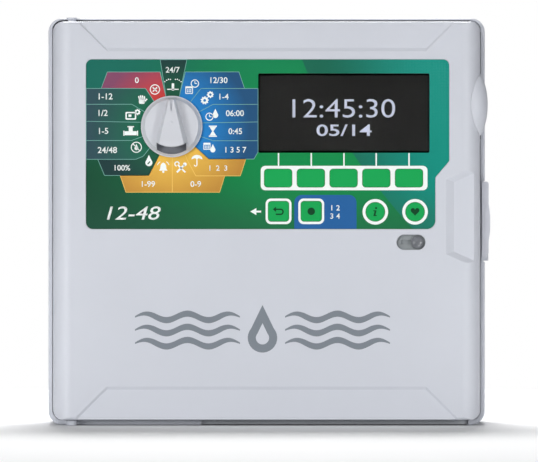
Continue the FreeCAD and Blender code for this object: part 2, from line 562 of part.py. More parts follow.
def door_shell():
    """Door skin with its raised field, recesses, finger pocket, posts and hinge bosses."""
    body = door_block()
    inner, front = DOOR_HALF - DOOR_SKIN, DOOR_FRONT + DOOR_SKIN
    cavity = prism([(inner, DOOR_BACK + 1), (inner, front, DOOR_EDGE_R - 3), (-inner, front, DOOR_EDGE_R - 3),
                    (-inner, DOOR_BACK + 1)], "z", DOOR_Z0 + 3, DOOR_Z1 - 3)
    cavity = cavity.common(slab(-inner, inner, DOOR_Z0 + 3, DOOR_Z1 - 3, 5.5, front - 1, DOOR_BACK + 1))
    pad = box(PAD[0], inner + 1, front - 1, front + PAD[3], PAD[1], PAD[2])
    cavity = cavity.cut(pad)
    cup = stadium(SLOT_X, SLOT_Z, SLOT_L + 4, SLOT_H + 4, front - 1, front + 1.6)
    cavity = cavity.cut(cup)
    body = body.cut(cavity)

    posts = [cyl("z", HINGE_X, HINGE_Y, 5.0, DOOR_Z0 + 2.5, -146.0),
             cyl("z", HINGE_X, HINGE_Y, 5.0, 147.0, DOOR_Z1 - 2.5)]
    posts += [box(HINGE_X - 13, HINGE_X, HINGE_Y - 1.2, HINGE_Y + 1.2, z0, z1)
              for z0, z1 in ((DOOR_Z0 + 2.5, -147.0), (148.0, 157.5))]
    body = join([body] + posts)

    skin_cuts = [prism(OVERLAY, "y", DOOR_FRONT - 1, DOOR_FRONT + OVERLAY_RECESS),
                 slab(*WINDOW, 1.2, DOOR_FRONT - 1, front + 1),
                 cyl("y", DIAL_X, DIAL_Z, 5.0, -124, front + 1)]
    skin_cuts += [key_slab(p, KEY_GAP, DOOR_FRONT - 1, front + 1) for p in key_plans()]
    top_out = [(-127.0, 135.6), (126.8, 135.6), (153.4, 162.0), (-153.8, 162.0)]
    top_in = [(-128.2, 138.2), (128.0, 138.2), (151.8, 162.0), (-152.2, 162.0)]
    low_out = [(-156.6, -160.4), (156.0, -160.4), (127.0, -131.7), (-127.6, -131.7)]
    low_in = [(-154.0, -160.4), (153.4, -160.4), (127.0, -134.2), (-127.6, -134.2)]
    skin_cuts += [band_cut(top_out, top_in), band_cut(low_out, low_in)]
    grip_out = [(143.2, -26.0), (174.0, -40.0), (174.0, 47.0), (143.2, 34.0)]
    grip_in = [(149.5, -24.0), (174.0, -35.2), (174.0, 42.2), (149.5, 31.4)]
    skin_cuts.append(taper(spread(grip_out, grip_in), grip_in, DOOR_FRONT - 3.4, DOOR_FRONT + 3.4))
    skin_cuts.append(stadium(SLOT_X, SLOT_Z, SLOT_L, SLOT_H, DOOR_FRONT - 1, -119.2))
    skin_cuts.append(box(SLOT_X - 8.0, SLOT_X + 8.0, -121, front + 3, SLOT_Z - 1.7, SLOT_Z + 1.7))
    skin_cuts.append(cyl("y", *BOARD_POSTS[-1], SCREW_R, -117.8, front + PAD[3] + 1))
    skin_cuts += [cyl("z", HINGE_X, HINGE_Y, PIN_R + PIN_CLEAR, -170, -147.4),
                  cyl("z", HINGE_X, HINGE_Y, PIN_R + PIN_CLEAR, 148.4, 170)]
    skin_cuts += [cyl("x", -103.0, z, 1.2, 165.0, 170.0) for z in (-4.0, 4.0)]
    return carve(body, skin_cuts)


def door_posts():
    """Screw posts standing on the inside of the door skin."""
    inside = DOOR_FRONT + DOOR_SKIN
    spots = [(x, z, 3.6, BOARD_FRONT, -117.8) for x, z in BOARD_POSTS]
    spots += [(x, z, 4.0, COVER_Y0, -112.0) for x, z in COVER_POSTS]
    posts = []
    for x, z, r, top, hole in spots:
        base = inside + PAD[3] if x > PAD[0] and PAD[1] < z < PAD[2] else inside
        posts.append(cyl("y", x, z, r, base, top).cut(cyl("y", x, z, SCREW_R, hole, top + 1)))
    return group(posts)


def spread(outer, inner):
    """Outline as far outside `outer` as `inner` is inside it."""
    return [(2 * a[0] - b[0], 2 * a[1] - b[1]) for a, b in zip(outer, inner)]


def band_cut(outer, inner):
    """Shallow trapezoid recess with drafted edges."""
    return taper(spread(outer, inner), inner, DOOR_FRONT - 1.3, DOOR_FRONT + 1.3)


def front_overlay():
    """Printed front label with openings for the display, dial shaft and keys."""
    y0 = DOOR_FRONT + OVERLAY_RECESS - OVERLAY_T
    inset = [(-144.0, 129.2, 4.8), (145.6, 129.2, 4.8), (145.6, 48.3, 1.9), (134.5, 35.2, 2.1),
             (134.5, -6.0, 6.8), (-144.0, -6.0, 5.4)]
    sheet = prism(inset, "y", y0, DOOR_FRONT + OVERLAY_RECESS)
    cuts = [slab(*WINDOW, 1.2, -124, -118), cyl("y", DIAL_X, DIAL_Z, 5.4, -124, -118)]
    cuts += [key_slab(p, KEY_GAP - 0.05, -124, -118) for p in key_plans()]
    return carve(sheet, cuts)


def display_window():
    """Clear window filling the overlay opening, with a flange behind the skin."""
    x0, x1, z0, z1 = WINDOW
    pane = slab(x0 + 0.15, x1 - 0.15, z0 + 0.15, z1 - 0.15, 1.1, DOOR_FRONT + 0.15, -118.5)
    return join([pane, slab(x0 - 2.4, x1 + 2.4, z0 - 2.4, z1 + 2.4, 2.0, -119.0, -117.8)])


def display_bezel():
    """Black frame holding the display against the window."""
    x0, x1, z0, z1 = WINDOW
    frame = slab(x0 - 2.6, x1 + 2.6, z0 - 2.6, z1 + 2.6, 2.0, -117.8, BOARD_FRONT)
    return frame.cut(slab(x0 + 0.9, x1 - 0.9, z0 + 1.4, z1 - 1.4, 1.0, -119, -111))


def display_module():
    """Display glass on its carrier, standing on the main board."""
    x0, x1, z0, z1 = WINDOW
    glass = slab(x0 + 1.0, x1 - 1.0, z0 + 1.5, z1 - 1.5, 1.0, -117.6, -115.0)
    carrier = slab(x0 + 1.0, x1 - 1.0, z0 + 1.5, z1 - 1.5, 1.0, -115.0, BOARD_FRONT)
    return join([glass, carrier.cut(box(x0 + 8, x1 - 8, -114.0, -111, z0 + 8, z1 - 8))])


def main_board():
    """Control board behind the door skin."""
    board = slab(-114.0, 144.0, -30.0, 129.0, 3.0, BOARD_FRONT, BOARD_BACK)
    return carve(board, [cyl("y", x, z, 1.6, -115, -105) for x, z in BOARD_POSTS])


def board_parts():
    """Chips, coils, sounder and the ribbon socket on the back of the main board."""
    b = BOARD_BACK
    out = [slab(0.0, 15.0, 60.0, 75.0, 0.5, b, b + 1.6), slab(-40.0, -24.0, 20.0, 30.0, 0.4, b, b + 2.0),
           slab(-62.0, -50.0, 20.0, 32.0, 2.0, b, b + 5.5), cyl("y", 100.0, 100.0, 6.0, b, b + 7.0),
           slab(-84.0, -76.0, 56.0, 70.0, 0.4, b, b + 2.2), slab(96.0, 112.0, 20.0, 34.0, 0.6, b, b + 3.0)]
    out += [cyl("y", -60.0 + 12 * i, 0.0, 4.0, b, b + 9.0) for i in range(3)]
    out += [slab(20.0 + 7 * i, 24.0 + 7 * i, 30.0, 32.5, 0.2, b, b + 1.0) for i in range(8)]
    socket = slab(-110.0, -98.0, 40.0, 80.0, 0.8, b, b + 6.2)
    out.append(socket.cut(box(-106.2, -101.8, b + 2.0, b + 7, 43.0, 77.0)))
    return group(out)


def cell_holder():
    """Round holder for the memory cell."""
    holder = cyl("y", 52.0, 92.0, 12.0, BOARD_BACK, BOARD_BACK + 5.2)
    return holder.cut(cyl("y", 52.0, 92.0, 10.2, BOARD_BACK + 1.6, BOARD_BACK + 7))


def coin_cell():
    """Coin cell keeping the clock running."""
    cell = cyl("y", 52.0, 92.0, 10.0, BOARD_BACK + 1.6, BOARD_BACK + 4.8)
    return soften(cell, 0.5, lambda e: at_y(e, BOARD_BACK + 4.8))


def keypad_mat():
    """Silicone mat with a sprung dome under every key."""
    sheet = slab(-4.0, 134.0, -2.0, 46.0, 2.0, BOARD_FRONT - 1.0, BOARD_FRONT)
    domes = [cone_y(p[2], p[3], 3.0, 5.2, -117.9, BOARD_FRONT - 0.5) for p in key_plans()]
    return join([sheet] + domes)


def encoder_body():
    """Rotary encoder the dial shaft turns in."""
    body = slab(DIAL_X - 7.5, DIAL_X + 7.5, DIAL_Z - 7.5, DIAL_Z + 7.5, 1.0, -117.6, BOARD_FRONT)
    nose = cyl("y", DIAL_X, DIAL_Z, 4.6, -120.4, -117.0)
    return join([body, nose]).cut(cyl("y", DIAL_X, DIAL_Z, SHAFT_R + 0.05, -121, -112.4))


def dial_shaft():
    """D-shaft of the encoder."""
    rod = cyl("y", DIAL_X, DIAL_Z, SHAFT_R, -134.0, -112.6)
    return rod.cut(box(DIAL_X + 1.9, DIAL_X + 4, -135, -122.9, DIAL_Z - 4, DIAL_Z + 4))


def dial_knob():
    """Dial with a tapered grip ridge pointing at the set position."""
    x, z = DIAL_X, DIAL_Z
    base = join([cyl("y", x, z, DIAL_R, KNOB_BASE - 1.8, KNOB_BASE),
                 cone_y(x, z, DIAL_R - 3.2, DIAL_R - 0.7, KNOB_BASE - 6.2, KNOB_BASE - 1.8)])
    foot = [(x - 3.4, z + 23.0), (x + 3.4, z + 23.0), (x + 14.6, z - 15.0), (x + 12.6, z - 19.4),
            (x - 12.6, z - 19.4), (x - 14.6, z - 15.0)]
    head = [(x - 2.0, z + 21.0), (x + 2.0, z + 21.0), (x + 10.0, z - 14.4), (x + 10.0, z - 17.0),
            (x - 10.0, z - 17.0), (x - 10.0, z - 14.4)]
    ridge = taper(head, foot, KNOB_TOP, KNOB_BASE - 3.0)
    groove = prism([(x - 1.7, z + 26.0), (x + 1.7, z + 26.0), (x + 0.3, z + 12.0), (x - 0.3, z + 12.0)], "y",
                   KNOB_TOP - 1, KNOB_TOP + 1.6)
    knob = join([base, ridge])
    hollow = cyl("y", x, z, DIAL_R - 3.4, KNOB_BASE - 1.2, KNOB_BASE + 1)
    scoop = cyl("y", x, z, DIAL_R - 2.4, KNOB_TOP - 1, KNOB_BASE - 2.6)
    scoop = scoop.common(box(x - 11.8, x + 11.8, KNOB_TOP - 2, KNOB_BASE, z - 24.0, z - 12.0))
    scoop = scoop.cut(cyl("y", x, z + 5.0, 21.4, KNOB_TOP - 2, KNOB_BASE))
    dimple = cyl("y", x, z + 3.2, 1.0, KNOB_TOP - 1, KNOB_TOP + 0.4)
    hub = cyl("y", x, z, 6.4, KNOB_BASE - 4.0, KNOB_BASE)
    return carve(join([carve(knob, [hollow, groove, scoop, dimple]), hub]), [dial_shaft()])


def slide_switch():
    """Slide switch on the main board under the capsule slot."""
    body = slab(SLOT_X - 13, SLOT_X + 13, SLOT_Z - 4.5, SLOT_Z + 4.5, 0.6, -116.8, BOARD_FRONT)
    return body.cut(box(SLOT_X - 8.4, SLOT_X + 8.4, -118, -113.6, SLOT_Z - 1.8, SLOT_Z + 1.8))


def bypass_slider():
    """Round slider with a dished front, a stem into the switch and a dust shield behind the slot."""
    z = SLOT_Z
    knob = soften(cyl("y", SLIDER_X, z, SLIDER_R, -121.8, -119.3), 0.8, lambda e: at_y(e, -121.8))
    dish = Part.makeSphere(9.0, V(SLIDER_X, -121.8 - 8.3, z))
    stem = box(SLIDER_X - 1.9, SLIDER_X + 1.9, -119.6, -114.0, z - 1.55, z + 1.55)
    shield = box(SLIDER_X - 14.5, SLIDER_X + 15.0, -117.2, -116.9, z - 3.4, z + 3.4)
    return join([knob.cut(dish), stem, shield])


def back_cover():
    """Rear cover of the control door with the ribbon slot and the cell opening."""
    sheet = slab(-146.0, 166.0, -153.0, 155.0, 4.0, COVER_Y0, COVER_Y1)
    ribs = [box(-130.0, 150.0, COVER_Y0 - 1.8, COVER_Y0 + 0.4, z - 0.8, z + 0.8)
            for z in (-120.0, -80.0, -48.0)]
    cuts = [cyl("y", x, z, 1.6, -105, -95) for x, z in COVER_POSTS]
    cuts += [slab(-109.0, -99.0, 40.0, 80.0, 2.0, -101, -95), slab(36.0, 68.0, 76.0, 108.0, 3.0, -103, -95),
             box(161.0, 170.0, -101, -95, -10.0, 10.0)]
    return carve(join([sheet] + ribs), cuts)


def door_screws():
    """Screws of the main board and the rear cover."""
    out = [screw(x, z, BOARD_BACK, -SCREW_L) for x, z in BOARD_POSTS]
    out += [screw(x, z, COVER_Y1, -SCREW_L - 0.4) for x, z in COVER_POSTS]
    return group(out)


def door_gasket():
    """Foam strip on the skirt along the top, opening edge and bottom."""
    ring = slab(-170.7, 170.7, DOOR_Z0 + 0.3, DOOR_Z1 - 0.3, 8.2, DOOR_BACK, -94.0)
    return carve(ring, [slab(-168.3, 168.3, DOOR_Z0 + 2.7, DOOR_Z1 - 2.7, 5.8, -98, -93),
                        box(-180, -150.0, -98, -93, -170, 170)])


def door_catch():
    """Spring-steel leaf on the skirt that snaps behind the latch nose."""
    t = 0.8
    leaf = [(168.0, -106.0), (168.0, -99.4), (165.4, -96.4), (165.4, -87.2), (169.4, -87.2), (169.4, -86.4),
            (164.6, -86.4), (164.6, -96.8), (167.2, -99.8), (167.2, -106.0)]
    strip = prism(leaf, "z", -7.0, 7.0)
    return carve(strip, [cyl("x", -103.0, z, 1.2, 160.0, 175.0) for z in (-4.0, 4.0)])


def catch_rivets():
    """Rivets holding the catch leaf."""
    return group([join([cyl("x", -103.0, z, 1.2, 167.0, 169.8), cyl("x", -103.0, z, 2.2, 166.2, 167.2)])
                  for z in (-4.0, 4.0)])


def ribbon_cable():
    """Flat cable from the backplane to the main board with a service loop."""
    t, z0, z1 = 1.0, 45.0, 75.0
    path = [(-120.0, -19.0), (-120.0, -76.0, 6.9), (-134.0, -76.0, 6.9), (-134.0, -32.0, 6.9),
            (-148.0, -32.0, 6.9), (-148.0, -86.0, 8.0), (-104.0, -86.0, 8.0), (-104.0, -107.0)]
    strip = ribbon_outline([(p[0], p[1], p[2] if len(p) > 2 else 0.0) for p in path], t, z0, z1)
    plugs = [slab(-122.0, -118.0, 44.6, 75.4, 0.4, -23.0, -18.2),
             slab(-106.0, -102.0, 43.4, 76.6, 0.4, -108.2, -103.0)]
    return join([strip] + plugs)


def ribbon_outline(pts, t, z0, z1):
    """Strip of thickness t following a rounded path in plan."""
    def side(sign):
        out = []
        for i, (x, y, r) in enumerate(pts):
            dirs = []
            if i > 0:
                dirs.append((x - pts[i - 1][0], y - pts[i - 1][1]))
            if i < len(pts) - 1:
                dirs.append((pts[i + 1][0] - x, pts[i + 1][1] - y))
            units = [(dx / math.hypot(dx, dy), dy / math.hypot(dx, dy)) for dx, dy in dirs]
            nx = sum(-u[1] for u in units)
            ny = sum(u[0] for u in units)
            if len(units) == 2:
                turn = units[0][0] * units[1][1] - units[0][1] * units[1][0]
                r = r - sign * t / 2 * (1 if turn > 0 else -1) if r else 0.0
            out.append((x + sign * nx * t / 2, y + sign * ny * t / 2, r))
        return out
    return prism(side(1) + side(-1)[::-1], "z", z0, z1)


def module_lever(c):
    """Quarter-turn locking lever on a module."""
    disc = cyl("y", c, 112.0, 6.0, MOD_FRONT - 3.2, MOD_FRONT - 0.2)
    arm = prism([(c - 4.2, 112.0), (c + 4.2, 112.0), (c + 3.2, 92.5, 2.0), (c - 3.2, 92.5, 2.0)], "y",
                MOD_FRONT - 3.2, MOD_FRONT - 0.2)
    stem = cyl("y", c, 112.0, 2.0, MOD_FRONT - 1, MOD_FRONT + 5.6)
    slot = box(c - 3.6, c + 3.6, MOD_FRONT - 4, MOD_FRONT - 2.4, 111.3, 112.7)
    return carve(join([disc, arm, stem]), [slot])


# ---------------------------------------------------------------- output
def build():
    """Every node by name."""
    nodes = {"cabinet_back": cabinet_back(), "cabinet_walls": cabinet_walls(), "gasket_frame": gasket_frame(),
             "cable_entry_plate": cable_entry_plate(), "entry_blank": entry_blank(),
             "pivot_pins": pivot_pins(),
             "latch_paddle": latch_paddle(), "latch_nose": latch_nose(), "latch_spring": latch_spring(),
             "module_tray": module_tray(),
             "backplane_board": backplane_board(), "backplane_sockets": backplane_sockets(),
             "base_module": base_module(), "station_modules": station_modules(),
             "module_boards": module_boards(), "module_terminals": module_terminals(),
             "mains_block": mains_block(), "terminal_screws": terminal_screws(), "earth_bar": earth_bar(),
             "cabinet_screws": cabinet_screws(), "transformer_core": transformer_core(),
             "transformer_winding": transformer_winding(), "transformer_bracket": transformer_bracket(),
             "mains_cover": mains_cover(), "ribbon_cable": ribbon_cable(), "door_shell": door_shell(),
             "door_posts": door_posts(), "door_knuckle": door_knuckle(),
             "front_overlay": front_overlay(), "display_window": display_window(),
             "display_bezel": display_bezel(), "display_module": display_module(), "main_board": main_board(),
             "board_parts": board_parts(), "cell_holder": cell_holder(), "coin_cell": coin_cell(),
             "keypad_mat": keypad_mat(), "encoder_body": encoder_body(), "dial_shaft": dial_shaft(),
             "dial_knob": dial_knob(), "slide_switch": slide_switch(), "bypass_slider": bypass_slider(),
             "back_cover": back_cover(), "door_screws": door_screws(), "door_gasket": door_gasket(),
             "door_catch": door_catch(), "catch_rivets": catch_rivets()}
    for plan in key_plans():
        nodes[plan[0]] = key(plan)
    for i, c in enumerate(SLOTS):
        nodes["module_lever_%d" % (i + 1)] = module_lever(c)
    return nodes


os.makedirs("parts", exist_ok=True)
for name, shape in build().items():
    shape.exportStep("parts/%s.step" % name)
    print(name, shape.ShapeType, len(shape.Solids), "valid" if shape.isValid() else "INVALID",
          "%.1f cm3" % (shape.Volume / 1000.0))
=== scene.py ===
"""Irrigation controller: finishes, printed front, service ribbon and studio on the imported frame.

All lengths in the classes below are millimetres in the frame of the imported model: the origin is the
centre of the cabinet's back, the front faces -Y and +Z is up. MM turns them into metres.
"""

import logging
import math
from dataclasses import dataclass, field
from enum import Enum

import bmesh
import bpy
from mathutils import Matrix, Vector
from mathutils.geometry import tessellate_polygon


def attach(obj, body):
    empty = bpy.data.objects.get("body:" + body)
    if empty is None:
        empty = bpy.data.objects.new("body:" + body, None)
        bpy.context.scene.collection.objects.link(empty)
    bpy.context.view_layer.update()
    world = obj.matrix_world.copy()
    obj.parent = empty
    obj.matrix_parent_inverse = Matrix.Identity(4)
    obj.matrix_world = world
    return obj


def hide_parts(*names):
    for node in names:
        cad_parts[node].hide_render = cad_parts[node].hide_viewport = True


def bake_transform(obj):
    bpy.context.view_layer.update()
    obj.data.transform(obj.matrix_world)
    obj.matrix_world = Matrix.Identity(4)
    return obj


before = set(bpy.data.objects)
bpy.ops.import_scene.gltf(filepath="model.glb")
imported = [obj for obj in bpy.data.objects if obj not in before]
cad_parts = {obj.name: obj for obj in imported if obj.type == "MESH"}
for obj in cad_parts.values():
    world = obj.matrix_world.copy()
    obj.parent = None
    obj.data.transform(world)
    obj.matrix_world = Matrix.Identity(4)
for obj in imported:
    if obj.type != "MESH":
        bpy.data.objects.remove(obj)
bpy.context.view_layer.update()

MM = 0.001
LOG = logging.getLogger("controller")
Point = tuple[float, float]
Loop = list[Point]
Shape = list[Loop]
Colour = tuple[float, float, float]


# ------------------------------------------------------------------ colour and node helpers
def tint(red: int, green: int, blue: int) -> Colour:
    """Linear colour of a display colour.

    Args:
        red, green, blue: Levels from 0 to 255 as a screen shows them.

    Returns:
        The linear colour that a shader takes.
    """
    levels = (red / 255.0, green / 255.0, blue / 255.0)
    return tuple(c / 12.92 if c <= 0.04045 else ((c + 0.055) / 1.055) ** 2.4 for c in levels)


@dataclass
class Net:
    """A node tree with short calls for adding and joining nodes.

    Attributes:
        tree: The node tree being filled.
    """

    tree: bpy.types.NodeTree

    def add(self, kind: str, **values: object) -> bpy.types.Node:
        """Adds a node.

        Args:
            kind: The node's type name without its ShaderNode prefix.
            **values: Settings of the node, or values of its inputs with spaces written as underscores.

        Returns:
            The new node.
        """
        node = self.tree.nodes.new("ShaderNode" + kind)
        for key, value in values.items():
            socket = node.inputs.get(key.replace("_", " "))
            if socket is not None and not hasattr(type(node), key):
                socket.default_value = value
            else:
                setattr(node, key, value)
        return node

    def join(self, source: bpy.types.NodeSocket, target: bpy.types.NodeSocket) -> None:
        """Links an output to an input."""
        self.tree.links.new(source, target)

    def math(self, operation: str, first: object, second: object = None) -> bpy.types.NodeSocket:
        """Adds a Math node.

        Args:
            operation: The operation's name.
            first, second: A number or an output socket each.

        Returns:
            The result socket.
        """
        node = self.add("Math", operation=operation)
        for index, value in enumerate((first, second)):
            if value is None:
                continue
            if isinstance(value, (int, float)):
                node.inputs[index].default_value = value
            else:
                self.join(value, node.inputs[index])
        return node.outputs[0]

    def blend(self, factor: object, first: object, second: object, mode: str = "MIX") -> bpy.types.NodeSocket:
        """Adds a colour Mix node.

        Args:
            factor: A number or an output socket.
            first, second: A colour or an output socket each.
            mode: The blend type.

        Returns:
            The mixed colour socket.
        """
        node = self.add("Mix", data_type="RGBA", blend_type=mode)
        for socket, value in ((node.inputs[0], factor), (node.inputs[6], first), (node.inputs[7], second)):
            if isinstance(value, bpy.types.NodeSocket):
                self.join(value, socket)
            elif isinstance(value, tuple):
                socket.default_value = (*value[:3], 1.0)
            else:
                socket.default_value = value
        return node.outputs[2]

    def place(self) -> bpy.types.NodeSocket:
        """Object coordinates, which are the frame's own metres on every piece."""
        return self.add("TexCoord").outputs["Object"]

    def ramp(self, value: bpy.types.NodeSocket, low: float, high: float) -> bpy.types.NodeSocket:
        """Value brought smoothly from 0 at low to 1 at high.

        Args:
            value: The socket to map.
            low, high: The values where the result is 0 and 1.

        Returns:
            The mapped socket.
        """
        node = self.add("MapRange", interpolation_type="SMOOTHSTEP")
        node.inputs["From Min"].default_value = low
        node.inputs["From Max"].default_value = high
        self.join(value, node.inputs["Value"])
        return node.outputs[0]


class Effect(Enum):
    """Surface effects that several materials share."""

    GRAIN = "moulded_grain"
    DUST = "settled_dust"
    BRUSH = "brushed_lines"
    GLOW = "dial_glow"
    TRACES = "board_traces"


@dataclass
class Effects:
    """The shared node groups, each built once.

    Attributes:
        groups: The groups built so far, by effect.
    """

    groups: dict = field(default_factory=dict)

    def get(self, effect: Effect) -> bpy.types.NodeTree:
        """The node group of an effect, built on its first use."""
        if effect not in self.groups:
            maker = {Effect.GRAIN: self.moulded_grain, Effect.DUST: self.settled_dust,
                     Effect.BRUSH: self.brushed_lines, Effect.GLOW: self.dial_glow,
                     Effect.TRACES: self.board_traces}[effect]
            self.groups[effect] = maker(effect.value)
        return self.groups[effect]

    @staticmethod
    def start(name: str, inputs: dict, outputs: dict) -> tuple[Net, object, object]:
        """Opens a node group.

        Args:
            name: The group's name.
            inputs: Socket name to default; a number, or a tuple for a colour.
            outputs: Socket name to socket type.

        Returns:
            The net with the group's input and output nodes.
        """
        tree = bpy.data.node_groups.new(name, "ShaderNodeTree")
        for key, value in inputs.items():
            kind = "NodeSocketColor" if isinstance(value, tuple) else "NodeSocketFloat"
            socket = tree.interface.new_socket(key, in_out="INPUT", socket_type=kind)
            socket.default_value = (*value, 1.0) if isinstance(value, tuple) else value
        for key, kind in outputs.items():
            tree.interface.new_socket(key, in_out="OUTPUT", socket_type=kind)
        net = Net(tree)
        return net, tree.nodes.new("NodeGroupInput"), tree.nodes.new("NodeGroupOutput")

    def moulded_grain(self, name: str) -> bpy.types.NodeTree:
        """Spark-eroded mould texture: a fine pebble height with slow cloudy tone."""
        net, given, out = self.start(name, {"Scale": 900.0, "Cloud": 0.03, "Rough": 0.45},
                                     {"Height": "NodeSocketFloat", "Tone": "NodeSocketColor",
                                      "Roughness": "NodeSocketFloat"})
        where = net.place()
        fine = net.add("TexNoise", Detail=3.0, Roughness=0.6)
        net.join(where, fine.inputs["Vector"])
        net.join(given.outputs["Scale"], fine.inputs["Scale"])
        cell = net.add("TexVoronoi", feature="SMOOTH_F1")
        net.join(where, cell.inputs["Vector"])
        net.join(net.math("MULTIPLY", given.outputs["Scale"], 0.6), cell.inputs["Scale"])
        height = net.math("ADD", fine.outputs["Fac"], net.math("MULTIPLY", cell.outputs["Distance"], 0.5))
        net.join(height, out.inputs["Height"])
        slow = net.add("TexNoise", Scale=14.0, Detail=4.0)
        net.join(where, slow.inputs["Vector"])
        swing = net.math("MULTIPLY", net.math("SUBTRACT", slow.outputs["Fac"], 0.5), given.outputs["Cloud"])
        level = net.math("ADD", 1.0, swing)
        tone = net.add("CombineColor")
        for channel in tone.inputs[:3]:
            net.join(level, channel)
        net.join(tone.outputs[0], out.inputs["Tone"])
        spread = net.math("MULTIPLY", net.math("SUBTRACT", fine.outputs["Fac"], 0.5), 0.12)
        rough = net.math("ADD", net.math("ADD", given.outputs["Rough"], spread), swing)
        net.join(rough, out.inputs["Roughness"])
        return net.tree

    def settled_dust(self, name: str) -> bpy.types.NodeTree:
        """Mask of the light dust that settles on faces that look up."""
        net, given, out = self.start(name, {"Amount": 0.25}, {"Mask": "NodeSocketFloat"})
        split = net.add("SeparateXYZ")
        net.join(net.add("NewGeometry").outputs["Normal"], split.inputs[0])
        noise = net.add("TexNoise", Scale=160.0, Detail=6.0)
        net.join(net.place(), noise.inputs["Vector"])
        up = net.ramp(split.outputs["Z"], 0.35, 0.95)
        mask = net.math("MULTIPLY", up, net.ramp(noise.outputs["Fac"], 0.3, 0.75))
        net.join(net.math("MULTIPLY", mask, given.outputs["Amount"]), out.inputs["Mask"])
        return net.tree

    def brushed_lines(self, name: str) -> bpy.types.NodeTree:
        """Fine drawn lines of wire and plated sheet."""
        net, given, out = self.start(name, {"Scale": 400.0, "Rough": 0.3},
                                     {"Height": "NodeSocketFloat", "Roughness": "NodeSocketFloat",
                                      "Tone": "NodeSocketColor"})
        stretch = net.add("Mapping")
        stretch.inputs["Scale"].default_value = (1.0, 1.0, 0.06)
        net.join(net.place(), stretch.inputs["Vector"])
        noise = net.add("TexNoise", Detail=4.0)
        net.join(stretch.outputs[0], noise.inputs["Vector"])
        net.join(given.outputs["Scale"], noise.inputs["Scale"])
        net.join(noise.outputs["Fac"], out.inputs["Height"])
        swing = net.math("MULTIPLY", net.math("SUBTRACT", noise.outputs["Fac"], 0.5), 0.3)
        net.join(net.math("ADD", given.outputs["Rough"], swing), out.inputs["Roughness"])
        net.join(net.blend(noise.outputs["Fac"], (0.82, 0.82, 0.83), (1.0, 1.0, 1.0)), out.inputs["Tone"])
        return net.tree

    def dial_glow(self, name: str) -> bpy.types.NodeTree:
        """Printed colour that runs from an inner tint by the dial to an outer one."""
        net, given, out = self.start(name, {"Inner": (1.0, 1.0, 1.0), "Outer": (0.5, 0.5, 0.5), "Near": 0.02,
                                            "Far": 0.06}, {"Colour": "NodeSocketColor"})
        shift = net.add("VectorMath", operation="SUBTRACT")
        shift.inputs[1].default_value = (DialArt.centre_x * MM, 0.0, DialArt.centre_z * MM)
        net.join(net.place(), shift.inputs[0])
        flat = net.add("VectorMath", operation="MULTIPLY")
        flat.inputs[1].default_value = (1.0, 0.0, 1.0)
        net.join(shift.outputs[0], flat.inputs[0])
        reach = net.add("VectorMath", operation="LENGTH")
        net.join(flat.outputs[0], reach.inputs[0])
        span = net.add("MapRange")
        net.join(reach.outputs["Value"], span.inputs["Value"])
        net.join(given.outputs["Near"], span.inputs["From Min"])
        net.join(given.outputs["Far"], span.inputs["From Max"])
        colour = net.blend(span.outputs[0], given.outputs["Inner"], given.outputs["Outer"])
        net.join(colour, out.inputs["Colour"])
        return net.tree

    def board_traces(self, name: str) -> bpy.types.NodeTree:
        """Copper runs and pads under solder mask."""
        net, given, out = self.start(name, {"Mask": (0.02, 0.2, 0.1), "Copper": (0.05, 0.3, 0.15)},
                                     {"Colour": "NodeSocketColor", "Height": "NodeSocketFloat"})
        where = net.place()
        turn = net.add("Mapping")
        turn.inputs["Rotation"].default_value = (math.pi / 2, 0.0, 0.0)
        net.join(where, turn.inputs["Vector"])
        brick = net.add("TexBrick", Scale=120.0, Mortar_Size=0.06, Mortar_Smooth=0.1)
        brick.inputs["Color1"].default_value = brick.inputs["Color2"].default_value = (0, 0, 0, 1)
        brick.inputs["Mortar"].default_value = (1, 1, 1, 1)
        net.join(turn.outputs[0], brick.inputs["Vector"])
        pads = net.add("TexVoronoi", Scale=260.0)
        net.join(where, pads.inputs["Vector"])
        dots = net.math("LESS_THAN", pads.outputs["Distance"], 0.16)
        copper = net.math("MAXIMUM", dots, brick.outputs["Color"])
        net.join(net.blend(copper, given.outputs["Mask"], given.outputs["Copper"]), out.inputs["Colour"])
        net.join(copper, out.inputs["Height"])
        return net.tree


EFFECTS = Effects()


